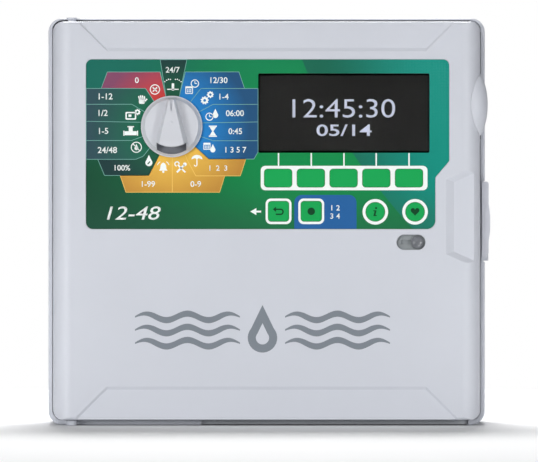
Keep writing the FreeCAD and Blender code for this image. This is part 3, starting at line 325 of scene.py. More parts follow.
# ------------------------------------------------------------------ finishes
@dataclass(frozen=True)
class Finish:
    """Base of every finish.

    Attributes:
        name: The material's name.
        colour: Base colour, linear.
        roughness: Microscopic roughness, 0 to 1.
        gloss: Level of the mirror reflection, 0.5 for plain plastic.
    """

    name: str
    colour: Colour
    roughness: float = 0.45
    gloss: float = 0.4

    def start(self) -> tuple[bpy.types.Material, Net, bpy.types.Node]:
        """Opens the material with its Principled shader."""
        material = bpy.data.materials.new(self.name)
        material.use_nodes = True
        material.diffuse_color = (*self.colour, 1.0)
        shader = material.node_tree.nodes["Principled BSDF"]
        shader.inputs["Base Color"].default_value = (*self.colour, 1.0)
        shader.inputs["Roughness"].default_value = self.roughness
        shader.inputs["Specular IOR Level"].default_value = self.gloss
        return material, Net(material.node_tree), shader

    @staticmethod
    def effect(net: Net, effect: Effect, **values: object) -> bpy.types.Node:
        """Places a shared effect.

        Args:
            net: The material's net.
            effect: Which group.
            **values: Input values of the group.

        Returns:
            The group node.
        """
        node = net.add("Group", node_tree=EFFECTS.get(effect))
        for key, value in values.items():
            node.inputs[key].default_value = (*value, 1.0) if isinstance(value, tuple) else value
        return node

    @staticmethod
    def bump(net: Net, shader: bpy.types.Node, height: bpy.types.NodeSocket, depth: float,
             normal: bpy.types.NodeSocket = None) -> None:
        """Feeds a height through a Bump node into the shader.

        Args:
            net: The material's net.
            shader: The Principled node.
            height: The height socket.
            depth: Height of the relief in metres.
            normal: A normal to start from, if any.
        """
        node = net.add("Bump", Strength=0.6, Distance=depth)
        net.join(height, node.inputs["Height"])
        if normal is not None:
            net.join(normal, node.inputs["Normal"])
        net.join(node.outputs[0], shader.inputs["Normal"])


@dataclass(frozen=True)
class MouldedPlastic(Finish):
    """Injection-moulded plastic with a spark-eroded texture.

    Attributes:
        grain: Pebbles per metre.
        relief: Texture height in metres.
        cloud: Strength of the slow tone change.
        coat: Weight of a glossy coat.
        edge: Radius in metres that sharp corners are softened by, 0 for none.
        dust: Amount of settled dust.
    """

    grain: float = 1400.0
    relief: float = 0.00003
    cloud: float = 0.05
    coat: float = 0.0
    edge: float = 0.0
    dust: float = 0.0

    def make(self) -> bpy.types.Material:
        """Builds the material."""
        material, net, shader = self.start()
        grain = self.effect(net, Effect.GRAIN, Scale=self.grain, Cloud=self.cloud, Rough=self.roughness)
        colour = net.blend(1.0, self.colour, grain.outputs["Tone"], "MULTIPLY")
        if self.dust:
            dust = self.effect(net, Effect.DUST, Amount=self.dust)
            colour = net.blend(dust.outputs["Mask"], colour, tint(214, 208, 196))
        net.join(colour, shader.inputs["Base Color"])
        net.join(grain.outputs["Roughness"], shader.inputs["Roughness"])
        shader.inputs["Coat Weight"].default_value = self.coat
        shader.inputs["Coat Roughness"].default_value = 0.12
        normal = None
        if self.edge:
            corner = net.add("Bevel", samples=4)
            corner.inputs["Radius"].default_value = self.edge
            normal = corner.outputs[0]
        self.bump(net, shader, grain.outputs["Height"], self.relief, normal)
        return material


@dataclass(frozen=True)
class Metal(Finish):
    """Drawn, stamped or plated metal with fine lines.

    Attributes:
        lines: Lines per metre.
        relief: Line height in metres.
    """

    lines: float = 2200.0
    relief: float = 0.00001

    def make(self) -> bpy.types.Material:
        """Builds the material."""
        material, net, shader = self.start()
        brush = self.effect(net, Effect.BRUSH, Scale=self.lines, Rough=self.roughness)
        net.join(net.blend(1.0, self.colour, brush.outputs["Tone"], "MULTIPLY"), shader.inputs["Base Color"])
        net.join(brush.outputs["Roughness"], shader.inputs["Roughness"])
        shader.inputs["Metallic"].default_value = 1.0
        self.bump(net, shader, brush.outputs["Height"], self.relief)
        return material


@dataclass(frozen=True)
class DialInk(Finish):
    """Screen-printed ink that lightens towards the dial.

    Attributes:
        outer: Colour away from the dial.
        far: Distance from the dial's centre in metres where the outer colour is reached.
    """

    gloss: float = 0.12
    outer: Colour = (0.1, 0.1, 0.1)
    far: float = 0.062

    def make(self) -> bpy.types.Material:
        """Builds the material."""
        material, net, shader = self.start()
        glow = self.effect(net, Effect.GLOW, Inner=self.colour, Outer=self.outer, Near=0.024, Far=self.far)
        grain = self.effect(net, Effect.GRAIN, Scale=2600.0, Cloud=0.16, Rough=self.roughness)
        net.join(net.blend(1.0, glow.outputs["Colour"], grain.outputs["Tone"], "MULTIPLY"),
                 shader.inputs["Base Color"])
        net.join(grain.outputs["Roughness"], shader.inputs["Roughness"])
        self.bump(net, shader, grain.outputs["Height"], 0.000008)
        return material


@dataclass(frozen=True)
class Ink(Finish):
    """Flat screen-printed ink, lit from within where it is a display.

    Attributes:
        light: Emission strength.
    """

    gloss: float = 0.15
    light: float = 0.0

    def make(self) -> bpy.types.Material:
        """Builds the material."""
        material, net, shader = self.start()
        grain = self.effect(net, Effect.GRAIN, Scale=3000.0, Cloud=0.05, Rough=self.roughness)
        colour = net.blend(1.0, self.colour, grain.outputs["Tone"], "MULTIPLY")
        net.join(colour, shader.inputs["Base Color"])
        net.join(grain.outputs["Roughness"], shader.inputs["Roughness"])
        if self.light:
            net.join(colour, shader.inputs["Emission Color"])
            shader.inputs["Emission Strength"].default_value = self.light
        return material


@dataclass(frozen=True)
class PanelField(Finish):
    """The front label's own print: green that turns teal at its sides, with slanted facets."""

    gloss: float = 0.12

    def make(self) -> bpy.types.Material:
        """Builds the material."""
        material, net, shader = self.start()
        split = net.add("SeparateXYZ")
        net.join(net.place(), split.inputs[0])
        x, z = split.outputs["X"], split.outputs["Z"]
        deep, leaf = tint(27, 75, 54), tint(22, 139, 76)
        across = net.ramp(net.math("ADD", x, net.math("MULTIPLY", z, 0.30)), -0.150, 0.040)
        colour = net.blend(across, deep, leaf)
        rise = net.ramp(net.math("SUBTRACT", z, net.math("MULTIPLY", x, 0.25)), 0.070, 0.150)
        aside = net.ramp(net.math("MULTIPLY", x, -1.0), 0.020, 0.130)
        share = net.math("ADD", 0.35, net.math("MULTIPLY", aside, 0.5))
        colour = net.blend(net.math("MULTIPLY", rise, share), colour, tint(30, 110, 98))
        low = net.ramp(net.math("MULTIPLY", z, -1.0), -0.040, 0.010)
        colour = net.blend(net.math("MULTIPLY", low, 0.55), colour, tint(40, 84, 66))
        # slanted facet: darker green that runs into teal at the right-hand edge
        drop_z = net.math("SUBTRACT", 0.129, z)
        bend = net.math("MULTIPLY", drop_z, net.math("ADD", 0.40, net.math("MULTIPLY", drop_z, 1.9)))
        facet = net.ramp(net.math("SUBTRACT", net.math("SUBTRACT", x, 0.0282), bend), -0.0004, 0.0006)
        toward = net.ramp(net.math("ADD", x, net.math("MULTIPLY", z, 0.10)), 0.050, 0.150)
        shade = net.blend(toward, tint(30, 104, 82), tint(20, 142, 126))
        colour = net.blend(facet, colour, shade)
        lower = net.math("MULTIPLY", net.ramp(net.math("SUBTRACT", 0.034, z), 0.0, 0.040), facet)
        colour = net.blend(net.math("MULTIPLY", lower, 0.6), colour, tint(40, 104, 84))
        # fine dots that fade in towards the upper right corner
        grid = net.add("TexVoronoi", Scale=820.0, Randomness=0.25)
        net.join(net.place(), grid.inputs["Vector"])
        corner = net.ramp(net.math("ADD", x, z), 0.160, 0.275)
        dots = net.math("MULTIPLY", net.math("LESS_THAN", grid.outputs["Distance"], 0.33), corner)
        colour = net.blend(net.math("MULTIPLY", dots, 0.30), colour, tint(90, 176, 168))
        grain = self.effect(net, Effect.GRAIN, Scale=2200.0, Cloud=0.10, Rough=self.roughness)
        colour = net.blend(1.0, colour, grain.outputs["Tone"], "MULTIPLY")
        net.join(colour, shader.inputs["Base Color"])
        net.join(grain.outputs["Roughness"], shader.inputs["Roughness"])
        self.bump(net, shader, grain.outputs["Height"], 0.00001)
        return material


@dataclass(frozen=True)
class CircuitBoard(Finish):
    """Solder mask over copper runs."""

    def make(self) -> bpy.types.Material:
        """Builds the material."""
        material, net, shader = self.start()
        traces = self.effect(net, Effect.TRACES, Mask=self.colour, Copper=tuple(2.2 * c for c in self.colour))
        grain = self.effect(net, Effect.GRAIN, Scale=1800.0, Cloud=0.08, Rough=self.roughness)
        net.join(net.blend(1.0, traces.outputs["Colour"], grain.outputs["Tone"], "MULTIPLY"),
                 shader.inputs["Base Color"])
        shader.inputs["Coat Weight"].default_value = 0.4
        self.bump(net, shader, traces.outputs["Height"], 0.00004)
        return material


@dataclass(frozen=True)
class SmokedGlass(Finish):
    """Tinted clear window."""

    def make(self) -> bpy.types.Material:
        """Builds the material."""
        material, net, shader = self.start()
        smear = net.add("TexNoise", Scale=40.0, Detail=5.0)
        net.join(net.place(), smear.inputs["Vector"])
        net.join(net.math("ADD", self.roughness, net.math("MULTIPLY", smear.outputs["Fac"], 0.03)),
                 shader.inputs["Roughness"])
        net.join(net.blend(smear.outputs["Fac"], self.colour, tuple(0.94 * c for c in self.colour)),
                 shader.inputs["Base Color"])
        shader.inputs["Transmission Weight"].default_value = 1.0
        shader.inputs["IOR"].default_value = 1.4
        return material


@dataclass(frozen=True)
class Laminations(Finish):
    """Varnished stacked sheet steel."""

    def make(self) -> bpy.types.Material:
        """Builds the material."""
        material, net, shader = self.start()
        wave = net.add("TexWave", bands_direction="Y", Scale=620.0, Distortion=0.4)
        net.join(net.place(), wave.inputs["Vector"])
        net.join(net.blend(wave.outputs["Fac"], self.colour, tuple(0.55 * c for c in self.colour)),
                 shader.inputs["Base Color"])
        shader.inputs["Metallic"].default_value = 0.6
        shader.inputs["Coat Weight"].default_value = 0.5
        self.bump(net, shader, wave.outputs["Fac"], 0.0001)
        return material


HOUSING = MouldedPlastic("housing_grey", tint(206, 209, 217), 0.42, edge=0.0006, dust=0.10)
KNOB = MouldedPlastic("knob_grey", tint(209, 211, 217), 0.36, grain=2400.0, relief=0.00001, cloud=0.03,
                      edge=0.0005, coat=0.15)
LATCH = MouldedPlastic("latch_grey", tint(198, 200, 208), 0.38, edge=0.0005)
ENTRY = MouldedPlastic("entry_grey", tint(190, 194, 200), 0.5, edge=0.0004)
COVER = MouldedPlastic("cover_grey", tint(186, 189, 194), 0.5, edge=0.0004, dust=0.2)
MODULE = MouldedPlastic("module_grey", tint(62, 66, 71), 0.5, grain=1100.0, relief=0.00005, edge=0.0004,
                        dust=0.25)
PARTS = MouldedPlastic("parts_black", tint(34, 34, 36), 0.45, dust=0.15)
BEZEL = MouldedPlastic("bezel_black", tint(20, 20, 22), 0.6)
KEY = MouldedPlastic("key_green", tint(24, 164, 84), 0.42, gloss=0.15, grain=2600.0, relief=0.00001,
                     cloud=0.06, edge=0.0004)
SLIDER = MouldedPlastic("slider_grey", tint(108, 111, 116), 0.35, relief=0.00001, coat=0.2, edge=0.0003)
LEVER = MouldedPlastic("lever_green", tint(46, 150, 92), 0.42, edge=0.0004)
TERMINAL = MouldedPlastic("terminal_green", tint(44, 120, 78), 0.5, edge=0.0003)
SILICONE = MouldedPlastic("silicone", tint(214, 216, 218), 0.55, relief=0.00001, coat=0.1)
FOAM = MouldedPlastic("foam_black", tint(30, 30, 31), 0.95, grain=3600.0, relief=0.0003, cloud=0.2)
STEEL = Metal("plated_steel", tint(196, 198, 202), 0.26)
BRASS = Metal("brass", tint(214, 178, 104), 0.24)
BOARD = CircuitBoard("board_green", tint(18, 84, 48), 0.4)
CORE = Laminations("core_steel", tint(92, 92, 98), 0.4)
WINDING = MouldedPlastic("winding_tape", tint(226, 186, 62), 0.35, grain=300.0, relief=0.00015, coat=0.3)
WINDOW = SmokedGlass("window_clear", (0.80, 0.80, 0.80), 0.02)
DISPLAY = MouldedPlastic("display_black", tint(54, 54, 52), 0.4, relief=0.000004, cloud=0.1)
PANEL = PanelField("overlay_print", tint(34, 130, 80), 0.4)
RIBBON = MouldedPlastic("ribbon_grey", tint(168, 170, 174), 0.45, relief=0.00002)
INK_WHITE = Ink("ink_white", tint(244, 249, 246), 0.42)
INK_LINE = Ink("ink_line", tint(120, 176, 166), 0.42)
INK_LINE_WARM = Ink("ink_line_warm", tint(244, 206, 110), 0.42)
INK_DARK = Ink("ink_dark_green", tint(14, 66, 38), 0.42)
INK_GREY = Ink("ink_grey", tint(128, 135, 143), 0.4)
INK_SLOT = Ink("ink_slot", tint(142, 147, 149), 0.45)
# painted shade: dark grey for the floor of the knob's scoop, where the ridge shades it
PAINTED_SCOOP_SHADE = Ink("painted_scoop_shade_ink", tint(118, 121, 128), 0.45)
INK_PATCH = Ink("ink_patch", tint(40, 98, 158), 0.42)
DIGITS = Ink("digits_lit", tint(206, 212, 230), 0.4, light=0.75)
INK_BLUE = DialInk("ink_blue", tint(40, 132, 204), 0.42, outer=tint(40, 84, 124))
INK_AMBER = DialInk("ink_amber", tint(238, 190, 82), 0.42, outer=tint(186, 132, 60), far=0.068)
INK_RED = DialInk("ink_red", tint(206, 66, 60), 0.42, outer=tint(132, 76, 104), far=0.058)
INK_SHADE = DialInk("ink_shade", tint(30, 104, 76), 0.42, outer=tint(52, 80, 88), far=0.066)
INK_DEEP = DialInk("ink_deep", tint(32, 92, 66), 0.42, outer=tint(34, 62, 62), far=0.055)


# ------------------------------------------------------------------ drawn shapes
def circle(x: float, z: float, radius: float, steps: int = 28) -> Loop:
    """Closed ring of points."""
    return [(x + radius * math.cos(2 * math.pi * i / steps), z + radius * math.sin(2 * math.pi * i / steps))
            for i in range(steps)]


def rounded(x0: float, x1: float, z0: float, z1: float, radius: float, steps: int = 6) -> Loop:
    """Outline of a rectangle with round corners.

    Args:
        x0, x1, z0, z1: The rectangle's limits.
        radius: Corner radius.
        steps: Points per corner.

    Returns:
        The outline, anticlockwise.
    """
    loop: Loop = []
    corners = ((x1 - radius, z0 + radius, -90), (x1 - radius, z1 - radius, 0), (x0 + radius, z1 - radius, 90),
               (x0 + radius, z0 + radius, 180))
    for cx, cz, start in corners:
        for i in range(steps + 1):
            angle = math.radians(start + 90 * i / steps)
            loop.append((cx + radius * math.cos(angle), cz + radius * math.sin(angle)))
    return loop


def bar(x0: float, z0: float, x1: float, z1: float, width: float) -> Shape:
    """Straight stroke with square ends.

    Args:
        x0, z0, x1, z1: The stroke's ends.
        width: Its width.

    Returns:
        The stroke as one shape.
    """
    dx, dz = x1 - x0, z1 - z0
    length = math.hypot(dx, dz)
    nx, nz = -dz / length * width / 2, dx / length * width / 2
    return [[(x0 + nx, z0 + nz), (x0 - nx, z0 - nz), (x1 - nx, z1 - nz), (x1 + nx, z1 + nz)]]


def ring(x: float, z: float, radius: float, width: float) -> Shape:
    """Ring with its outer radius and width."""
    return [circle(x, z, radius), circle(x, z, radius - width)[::-1]]


def arc(x: float, z: float, radius: float, width: float, start: float, stop: float, steps: int = 12) -> Shape:
    """Curved band between two angles in degrees.

    Args:
        x, z: Centre.
        radius: Outer radius.
        width: Width of the band.
        start, stop: Angles in degrees.
        steps: Number of runs along the band.

    Returns:
        The band as one shape.
    """
    angles = [math.radians(start + (stop - start) * i / steps) for i in range(steps + 1)]
    outer = [(x + radius * math.cos(a), z + radius * math.sin(a)) for a in angles]
    inner = [(x + (radius - width) * math.cos(a), z + (radius - width) * math.sin(a)) for a in angles]
    return [outer + inner[::-1]]


def drop(x: float, z: float, height: float, steps: int = 22) -> Loop:
    """Water drop centred on a point.

    Args:
        x, z: Middle of the drop's height.
        height: Height from foot to tip.
        steps: Points round the drop.

    Returns:
        The outline.
    """
    radius = height * 0.31
    foot = z - height / 2 + radius
    loop = [(x, z + height / 2)]
    for i in range(steps):
        angle = math.radians(140 + 260 * i / (steps - 1))
        loop.append((x + radius * math.cos(angle), foot + radius * math.sin(angle)))
    return loop


def gear(x: float, z: float, radius: float, teeth: int = 8) -> Shape:
    """Toothed wheel with a hole."""
    loop = []
    for i in range(teeth * 4):
        angle = 2 * math.pi * i / (teeth * 4)
        reach = radius if i % 4 in (0, 1) else radius * 0.78
        loop.append((x + reach * math.cos(angle), z + reach * math.sin(angle)))
    return [loop, circle(x, z, radius * 0.34, 14)[::-1]]


def merged_edges(loops: list[Loop]) -> list[tuple[Point, Point]]:
    """Edges of several outlines, with the stretches that they share kept once.

    Args:
        loops: The outlines.

    Returns:
        The separate edges.
    """
    lines: dict = {}
    for loop in loops:
        for (ax, az), (bx, bz) in zip(loop, loop[1:] + loop[:1]):
            length = math.hypot(bx - ax, bz - az)
            if length < 1e-6:
                continue
            ux, uz = (bx - ax) / length, (bz - az) / length
            if ux < -1e-9 or (abs(ux) <= 1e-9 and uz < 0):
                ux, uz = -ux, -uz
            key = (round(math.atan2(uz, ux), 2), round(ux * az - uz * ax, 1))
            span = sorted((ux * ax + uz * az, ux * bx + uz * bz))
            lines.setdefault(key, (ux, uz, ux * az - uz * ax, []))[3].append(span)
    edges = []
    for ux, uz, off, spans in lines.values():
        spans.sort()
        runs = [spans[0][:]]
        for low, high in spans[1:]:
            if low <= runs[-1][1] + 0.05:
                runs[-1][1] = max(runs[-1][1], high)
            else:
                runs.append([low, high])
        edges += [((ux * t0 - uz * off, uz * t0 + ux * off), (ux * t1 - uz * off, uz * t1 + ux * off))
                  for t0, t1 in runs]
    return edges


class Layer(Enum):
    """Front planes of the printed layers, in millimetres."""

    SECTOR = -121.93
    LINE = -121.955
    MARK = -121.98


@dataclass
class Print:
    """Thin printed piece built from drawn shapes.

    Attributes:
        name: The piece's name.
        finish: The ink.
        body: The body it rides on.
        front: Plane of its front in millimetres.
        back: Plane it is printed on.
        slot: The record's material slot it belongs to; not used.
    """

    name: str
    finish: Finish
    body: str = "door"
    front: float = Layer.MARK.value
    back: float = -121.89
    slot: str = "overlay_print"
    mesh: bmesh.types.BMesh = field(default_factory=bmesh.new)

    def draw(self, *shapes: Shape) -> "Print":
        """Adds shapes, each an outline followed by its holes."""
        for shape in shapes:
            points = [p for loop in shape for p in loop]
            front = [self.mesh.verts.new((x * MM, self.front * MM, z * MM)) for x, z in points]
            back = [self.mesh.verts.new((x * MM, self.back * MM, z * MM)) for x, z in points]
            for a, b, c in tessellate_polygon([[Vector((x, z, 0)) for x, z in loop] for loop in shape]):
                self.mesh.faces.new((front[a], front[b], front[c]))
                self.mesh.faces.new((back[c], back[b], back[a]))
            start = 0
            for loop in shape:
                count = len(loop)
                for i in range(count):
                    a, b = start + i, start + (i + 1) % count
                    self.mesh.faces.new((front[a], back[a], back[b], front[b]))
                start += count
        return self

    def write(self, text: str, x: float, z: float, height: float, slant: float = 0.0, bold: float = 0.015,
              width: float = 0.0) -> "Print":
        """Adds numerals.

        Args:
            text: Digits and their signs.
            x, z: Centre of the text.
            height: Height of a digit.
            slant: Slope of italic figures.
            bold: How much the strokes are thickened.
            width: Overall width to fit, or 0 to keep the figures' own.

        Returns:
            This piece.
        """
        curve = bpy.data.curves.new("figures", "FONT")
        curve.body, curve.offset, curve.shear, curve.resolution_u = text, bold, slant, 5
        temp = bpy.data.objects.new("figures", curve)
        flat = bpy.data.meshes.new_from_object(temp)
        xs, zs = [v.co.x for v in flat.vertices], [v.co.y for v in flat.vertices]
        scale = height / 0.70
        stretch = width / (max(xs) - min(xs)) if width else scale
        mid_x, mid_z = (max(xs) + min(xs)) / 2, 0.34
        if not any(c in text for c in ",/"):
            mid_z = (max(zs) + min(zs)) / 2
        piece = bmesh.new()
        piece.from_mesh(flat)
        for vert in piece.verts:
            vert.co = Vector(((x + (vert.co.x - mid_x) * stretch) * MM, self.front * MM,
                              (z + (vert.co.y - mid_z) * scale) * MM))
        bmesh.ops.remove_doubles(piece, verts=piece.verts, dist=1e-7)
        made = bmesh.ops.extrude_face_region(piece, geom=piece.faces[:])["geom"]
        for item in made:
            if isinstance(item, bmesh.types.BMVert):
                item.co.y = self.back * MM
        joined = bpy.data.meshes.new("figures_solid")
        piece.to_mesh(joined)
        piece.free()
        self.mesh.from_mesh(joined)
        for block in (flat, joined):
            bpy.data.meshes.remove(block)
        bpy.data.objects.remove(temp)
        bpy.data.curves.remove(curve)
        return self

    def finish_piece(self) -> bpy.types.Object:
        """Closes the mesh, dresses it and lets it ride on its body."""
        bmesh.ops.recalc_face_normals(self.mesh, faces=self.mesh.faces[:])
        piece = new_piece(self.name, self.mesh, material_of(self.finish))
        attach(piece, self.body)
        return piece


MATERIALS: dict[str, bpy.types.Material] = {}


def material_of(finish: Finish) -> bpy.types.Material:
    """The one material of a finish, made on first use."""
    if finish.name not in MATERIALS:
        MATERIALS[finish.name] = finish.make()
    return MATERIALS[finish.name]


def new_piece(name: str, shape: bmesh.types.BMesh, material: bpy.types.Material) -> bpy.types.Object:
    """Puts a finished mesh in the scene.

    Args:
        name: The piece's name.
        shape: The mesh, freed here.
        material: Its material.

    Returns:
        The new object.
    """
    data = bpy.data.meshes.new(name)
    shape.to_mesh(data)
    shape.free()
    data.materials.append(material)
    piece = bpy.data.objects.new(name, data)
    bpy.context.scene.collection.objects.link(piece)
    LOG.info("piece %s: %d faces", name, len(data.polygons))
    return piece


def dress(finish: Finish, *nodes: str) -> None:
    """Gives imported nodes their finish.

    Args:
        finish: The finish.
        *nodes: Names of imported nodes.
    """
    for name in nodes:
        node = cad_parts[name]
        if not node.material_slots:
            node.data.materials.append(material_of(finish))
        for slot in node.material_slots:
            slot.material = material_of(finish)
        LOG.info("node %s: %s", name, finish.name)


# ------------------------------------------------------------------ sub-assemblies
@dataclass
class Cabinet:
    """Wall cabinet with its modules, supply and side latch.

    Attributes:
        bays: How many module bays there are.
        bay_x: Centre of each bay.
        label_z: Centre height of the bay number plate.
    """

    bays: int = 4
    bay_x: tuple = (-79.0, -17.0, 45.0, 107.0)
    label_z: float = 77.0
    module_front: float = -55.5

    def build(self) -> None:
        """Dresses the cabinet's nodes and prints the bay numbers."""
        dress(HOUSING, "cabinet_back", "cabinet_walls", "gasket_frame")
        dress(ENTRY, "cable_entry_plate", "entry_blank")
        dress(LATCH, "latch_paddle", "latch_nose")
        dress(STEEL, "pivot_pins", "latch_spring", "terminal_screws", "cabinet_screws",
              "transformer_bracket")
        dress(COVER, "module_tray", "mains_cover")
        dress(BOARD, "backplane_board", "module_boards")
        dress(PARTS, "backplane_sockets", "mains_block")
        dress(MODULE, "base_module", "station_modules")
        dress(TERMINAL, "module_terminals")
        dress(BRASS, "earth_bar")
        dress(CORE, "transformer_core")
        dress(WINDING, "transformer_winding")
        dress(LEVER, *(f"module_lever_{i + 1}" for i in range(self.bays)))
        self.bay_plates()
        # painted shade: dark strips in the gaps round the door
        self.painted_gap_shade()

    def painted_gap_shade(self) -> None:
        """Dark strips in the gaps between the door's edge and the rim: painted shade standing in for the
        shadow in those gaps.
        """
        gap_shade_strips = Print("painted_gap_shade", FOAM, body="cabinet", front=-96.2, back=-94.1, slot="foam_black")
        gap_shade_strips.draw([rounded(-150.0, 163.0, 159.75, 161.3, 0.3)], [rounded(-150.0, 163.0, -159.1, -158.5, 0.2)])
        gap_shade_strips.draw([rounded(171.1, 171.7, 66.0, 152.0, 0.2)]).finish_piece()

    def bay_plates(self) -> None:
        """Prints a pale plate with station numbers on each module."""
        front = self.module_front - 0.03
        plate = Print("module_plates", INK_WHITE, "cabinet", front, self.module_front + 0.05, "module_grey")
        figures = Print("module_numbers", INK_DARK, "cabinet", front - 0.03, front + 0.01, "module_grey")
        for i, x in enumerate(self.bay_x):
            plate.draw([rounded(x - 20.4, x + 20.4, self.label_z - 18.4, self.label_z + 18.4, 1.0)])
            figures.write(f"{12 * i + 1}-{12 * i + 12}", x, self.label_z + 5, 7.0)
            for k in range(12):
                figures.draw([rounded(x - 16.9 + 2.85 * k, x - 15.3 + 2.85 * k, self.label_z - 11.0,
                                      self.label_z - 5.0, 0.3)])
        plate.finish_piece()
        figures.finish_piece()


@dataclass
class ControlDoor:
    """Door shell, electronics, catch and the grey emblem on its lower field.

    Attributes:
        emblem_z: Middle height of the emblem.
        emblem_left, emblem_right: Its ends.
        face: Plane of the door's face.
        dial: Centre of the dial.
    """

    emblem_z: float = -86.6
    emblem_left: float = -105.0
    emblem_right: float = 98.4
    face: float = -122.0
    dial: tuple = (-75.7, 75.7)

    def build(self) -> None:
        """Dresses the door's nodes and prints the emblem."""
        dress(HOUSING, "door_shell", "door_posts", "door_knuckle")
        dress(PANEL, "front_overlay")
        dress(WINDOW, "display_window")
        dress(DISPLAY, "display_module")
        dress(BEZEL, "display_bezel")
        dress(BOARD, "main_board")
        dress(PARTS, "board_parts", "cell_holder", "slide_switch")
        dress(STEEL, "coin_cell", "encoder_body", "door_screws", "door_catch", "catch_rivets", "dial_shaft")
        dress(SILICONE, "keypad_mat")
        dress(COVER, "back_cover")
        dress(FOAM, "door_gasket")
        dress(KNOB, "dial_knob")
        dress(SLIDER, "bypass_slider")
        self.emblem()
        self.slot_floor()
        self.paint_scoop_shade()

    def wave(self, x0: float, x1: float, z: float, swing: float, width: float) -> Shape:
        """One rolling band.

        Args:
            x0, x1: Its ends.
            z: Its middle height.
            swing: Height of the wave either side of the middle.
            width: Thickness of the band.

        Returns:
            The band as one shape.
        """
        steps, turns = 60, 2.5
        top, under = [], []
        for i in range(steps + 1):
            x = x0 + (x1 - x0) * i / steps
            rise = swing * math.sin(2 * math.pi * turns * i / steps)
            taper = min(1.0, 0.25 + 4 * min(i, steps - i) / steps)
            top.append((x, z + rise + width * taper / 2))
            under.append((x, z + rise - width * taper / 2))
        return [top + under[::-1]]

    def emblem(self) -> None:
        """Water drop between rolling bands, in grey ink."""
        ink = Print("door_emblem", INK_GREY, front=self.face - 0.03, back=self.face + 0.05,
                    slot="housing_grey")
        middle = (self.emblem_left + self.emblem_right) / 2
        ink.draw([drop(middle, self.emblem_z + 1.0, 38.0), drop(middle, self.emblem_z - 3.0, 17.0)[::-1]])
        for x0, x1 in ((self.emblem_left, middle - 18.0), (middle + 18.0, self.emblem_right)):
            for lift in (-10.5, 0.0, 10.5):
                ink.draw(self.wave(x0, x1, self.emblem_z + lift, 2.6, 5.0))
        ink.finish_piece()

    def slot_floor(self) -> None:
        """Grey liner in the floor of the slider's capsule slot."""
        x, z, half, radius = 115.2, -16.6, 5.45, 6.0
        loop = [(x + half + radius * math.cos(math.radians(a)), z + radius * math.sin(math.radians(a)))
                for a in range(-90, 91, 10)]
        loop += [(x - half + radius * math.cos(math.radians(a)), z + radius * math.sin(math.radians(a)))
                 for a in range(90, 271, 10)]
        opening = [(x - 8.0, z - 1.7), (x - 8.0, z + 1.7), (x + 8.0, z + 1.7), (x + 8.0, z - 1.7)]
        liner = Print("slot_liner", INK_SLOT, front=-119.24, back=-119.19, slot="slider_grey")
        liner.draw([loop, opening]).finish_piece()
        shield = Print("shield_liner", INK_SLOT, front=-117.24, back=-117.19, slot="slider_grey",
                       body="bypass_slider")
        plate, stem = rounded(x - 9.4, x + 19.6, z - 3.3, z + 3.3, 0.5), circle(x + 4.9, z, 2.6)
        shield.draw([plate, stem[::-1]]).finish_piece()

    def paint_scoop_shade(self) -> None:
        """Dark grey piece in the floor of the knob's lower scoop: painted shade where the ridge shades the
        scoop.
        """
        x, z = self.dial
        half, steps, under, over, lift = 11.6, 20, 21.9, 21.4, 4.8
        across = [half - 2 * half * i / steps for i in range(steps + 1)]
        loop = [(x + d, z - math.sqrt(under ** 2 - d * d)) for d in across[::-1]]
        loop += [(x + d, z + lift - math.sqrt(over ** 2 - d * d)) for d in across]
        shade_piece = Print("painted_scoop_shade", PAINTED_SCOOP_SHADE, front=-125.36, back=-125.28, slot="knob_grey", body="dial")
        shade_piece.draw([loop]).finish_piece()


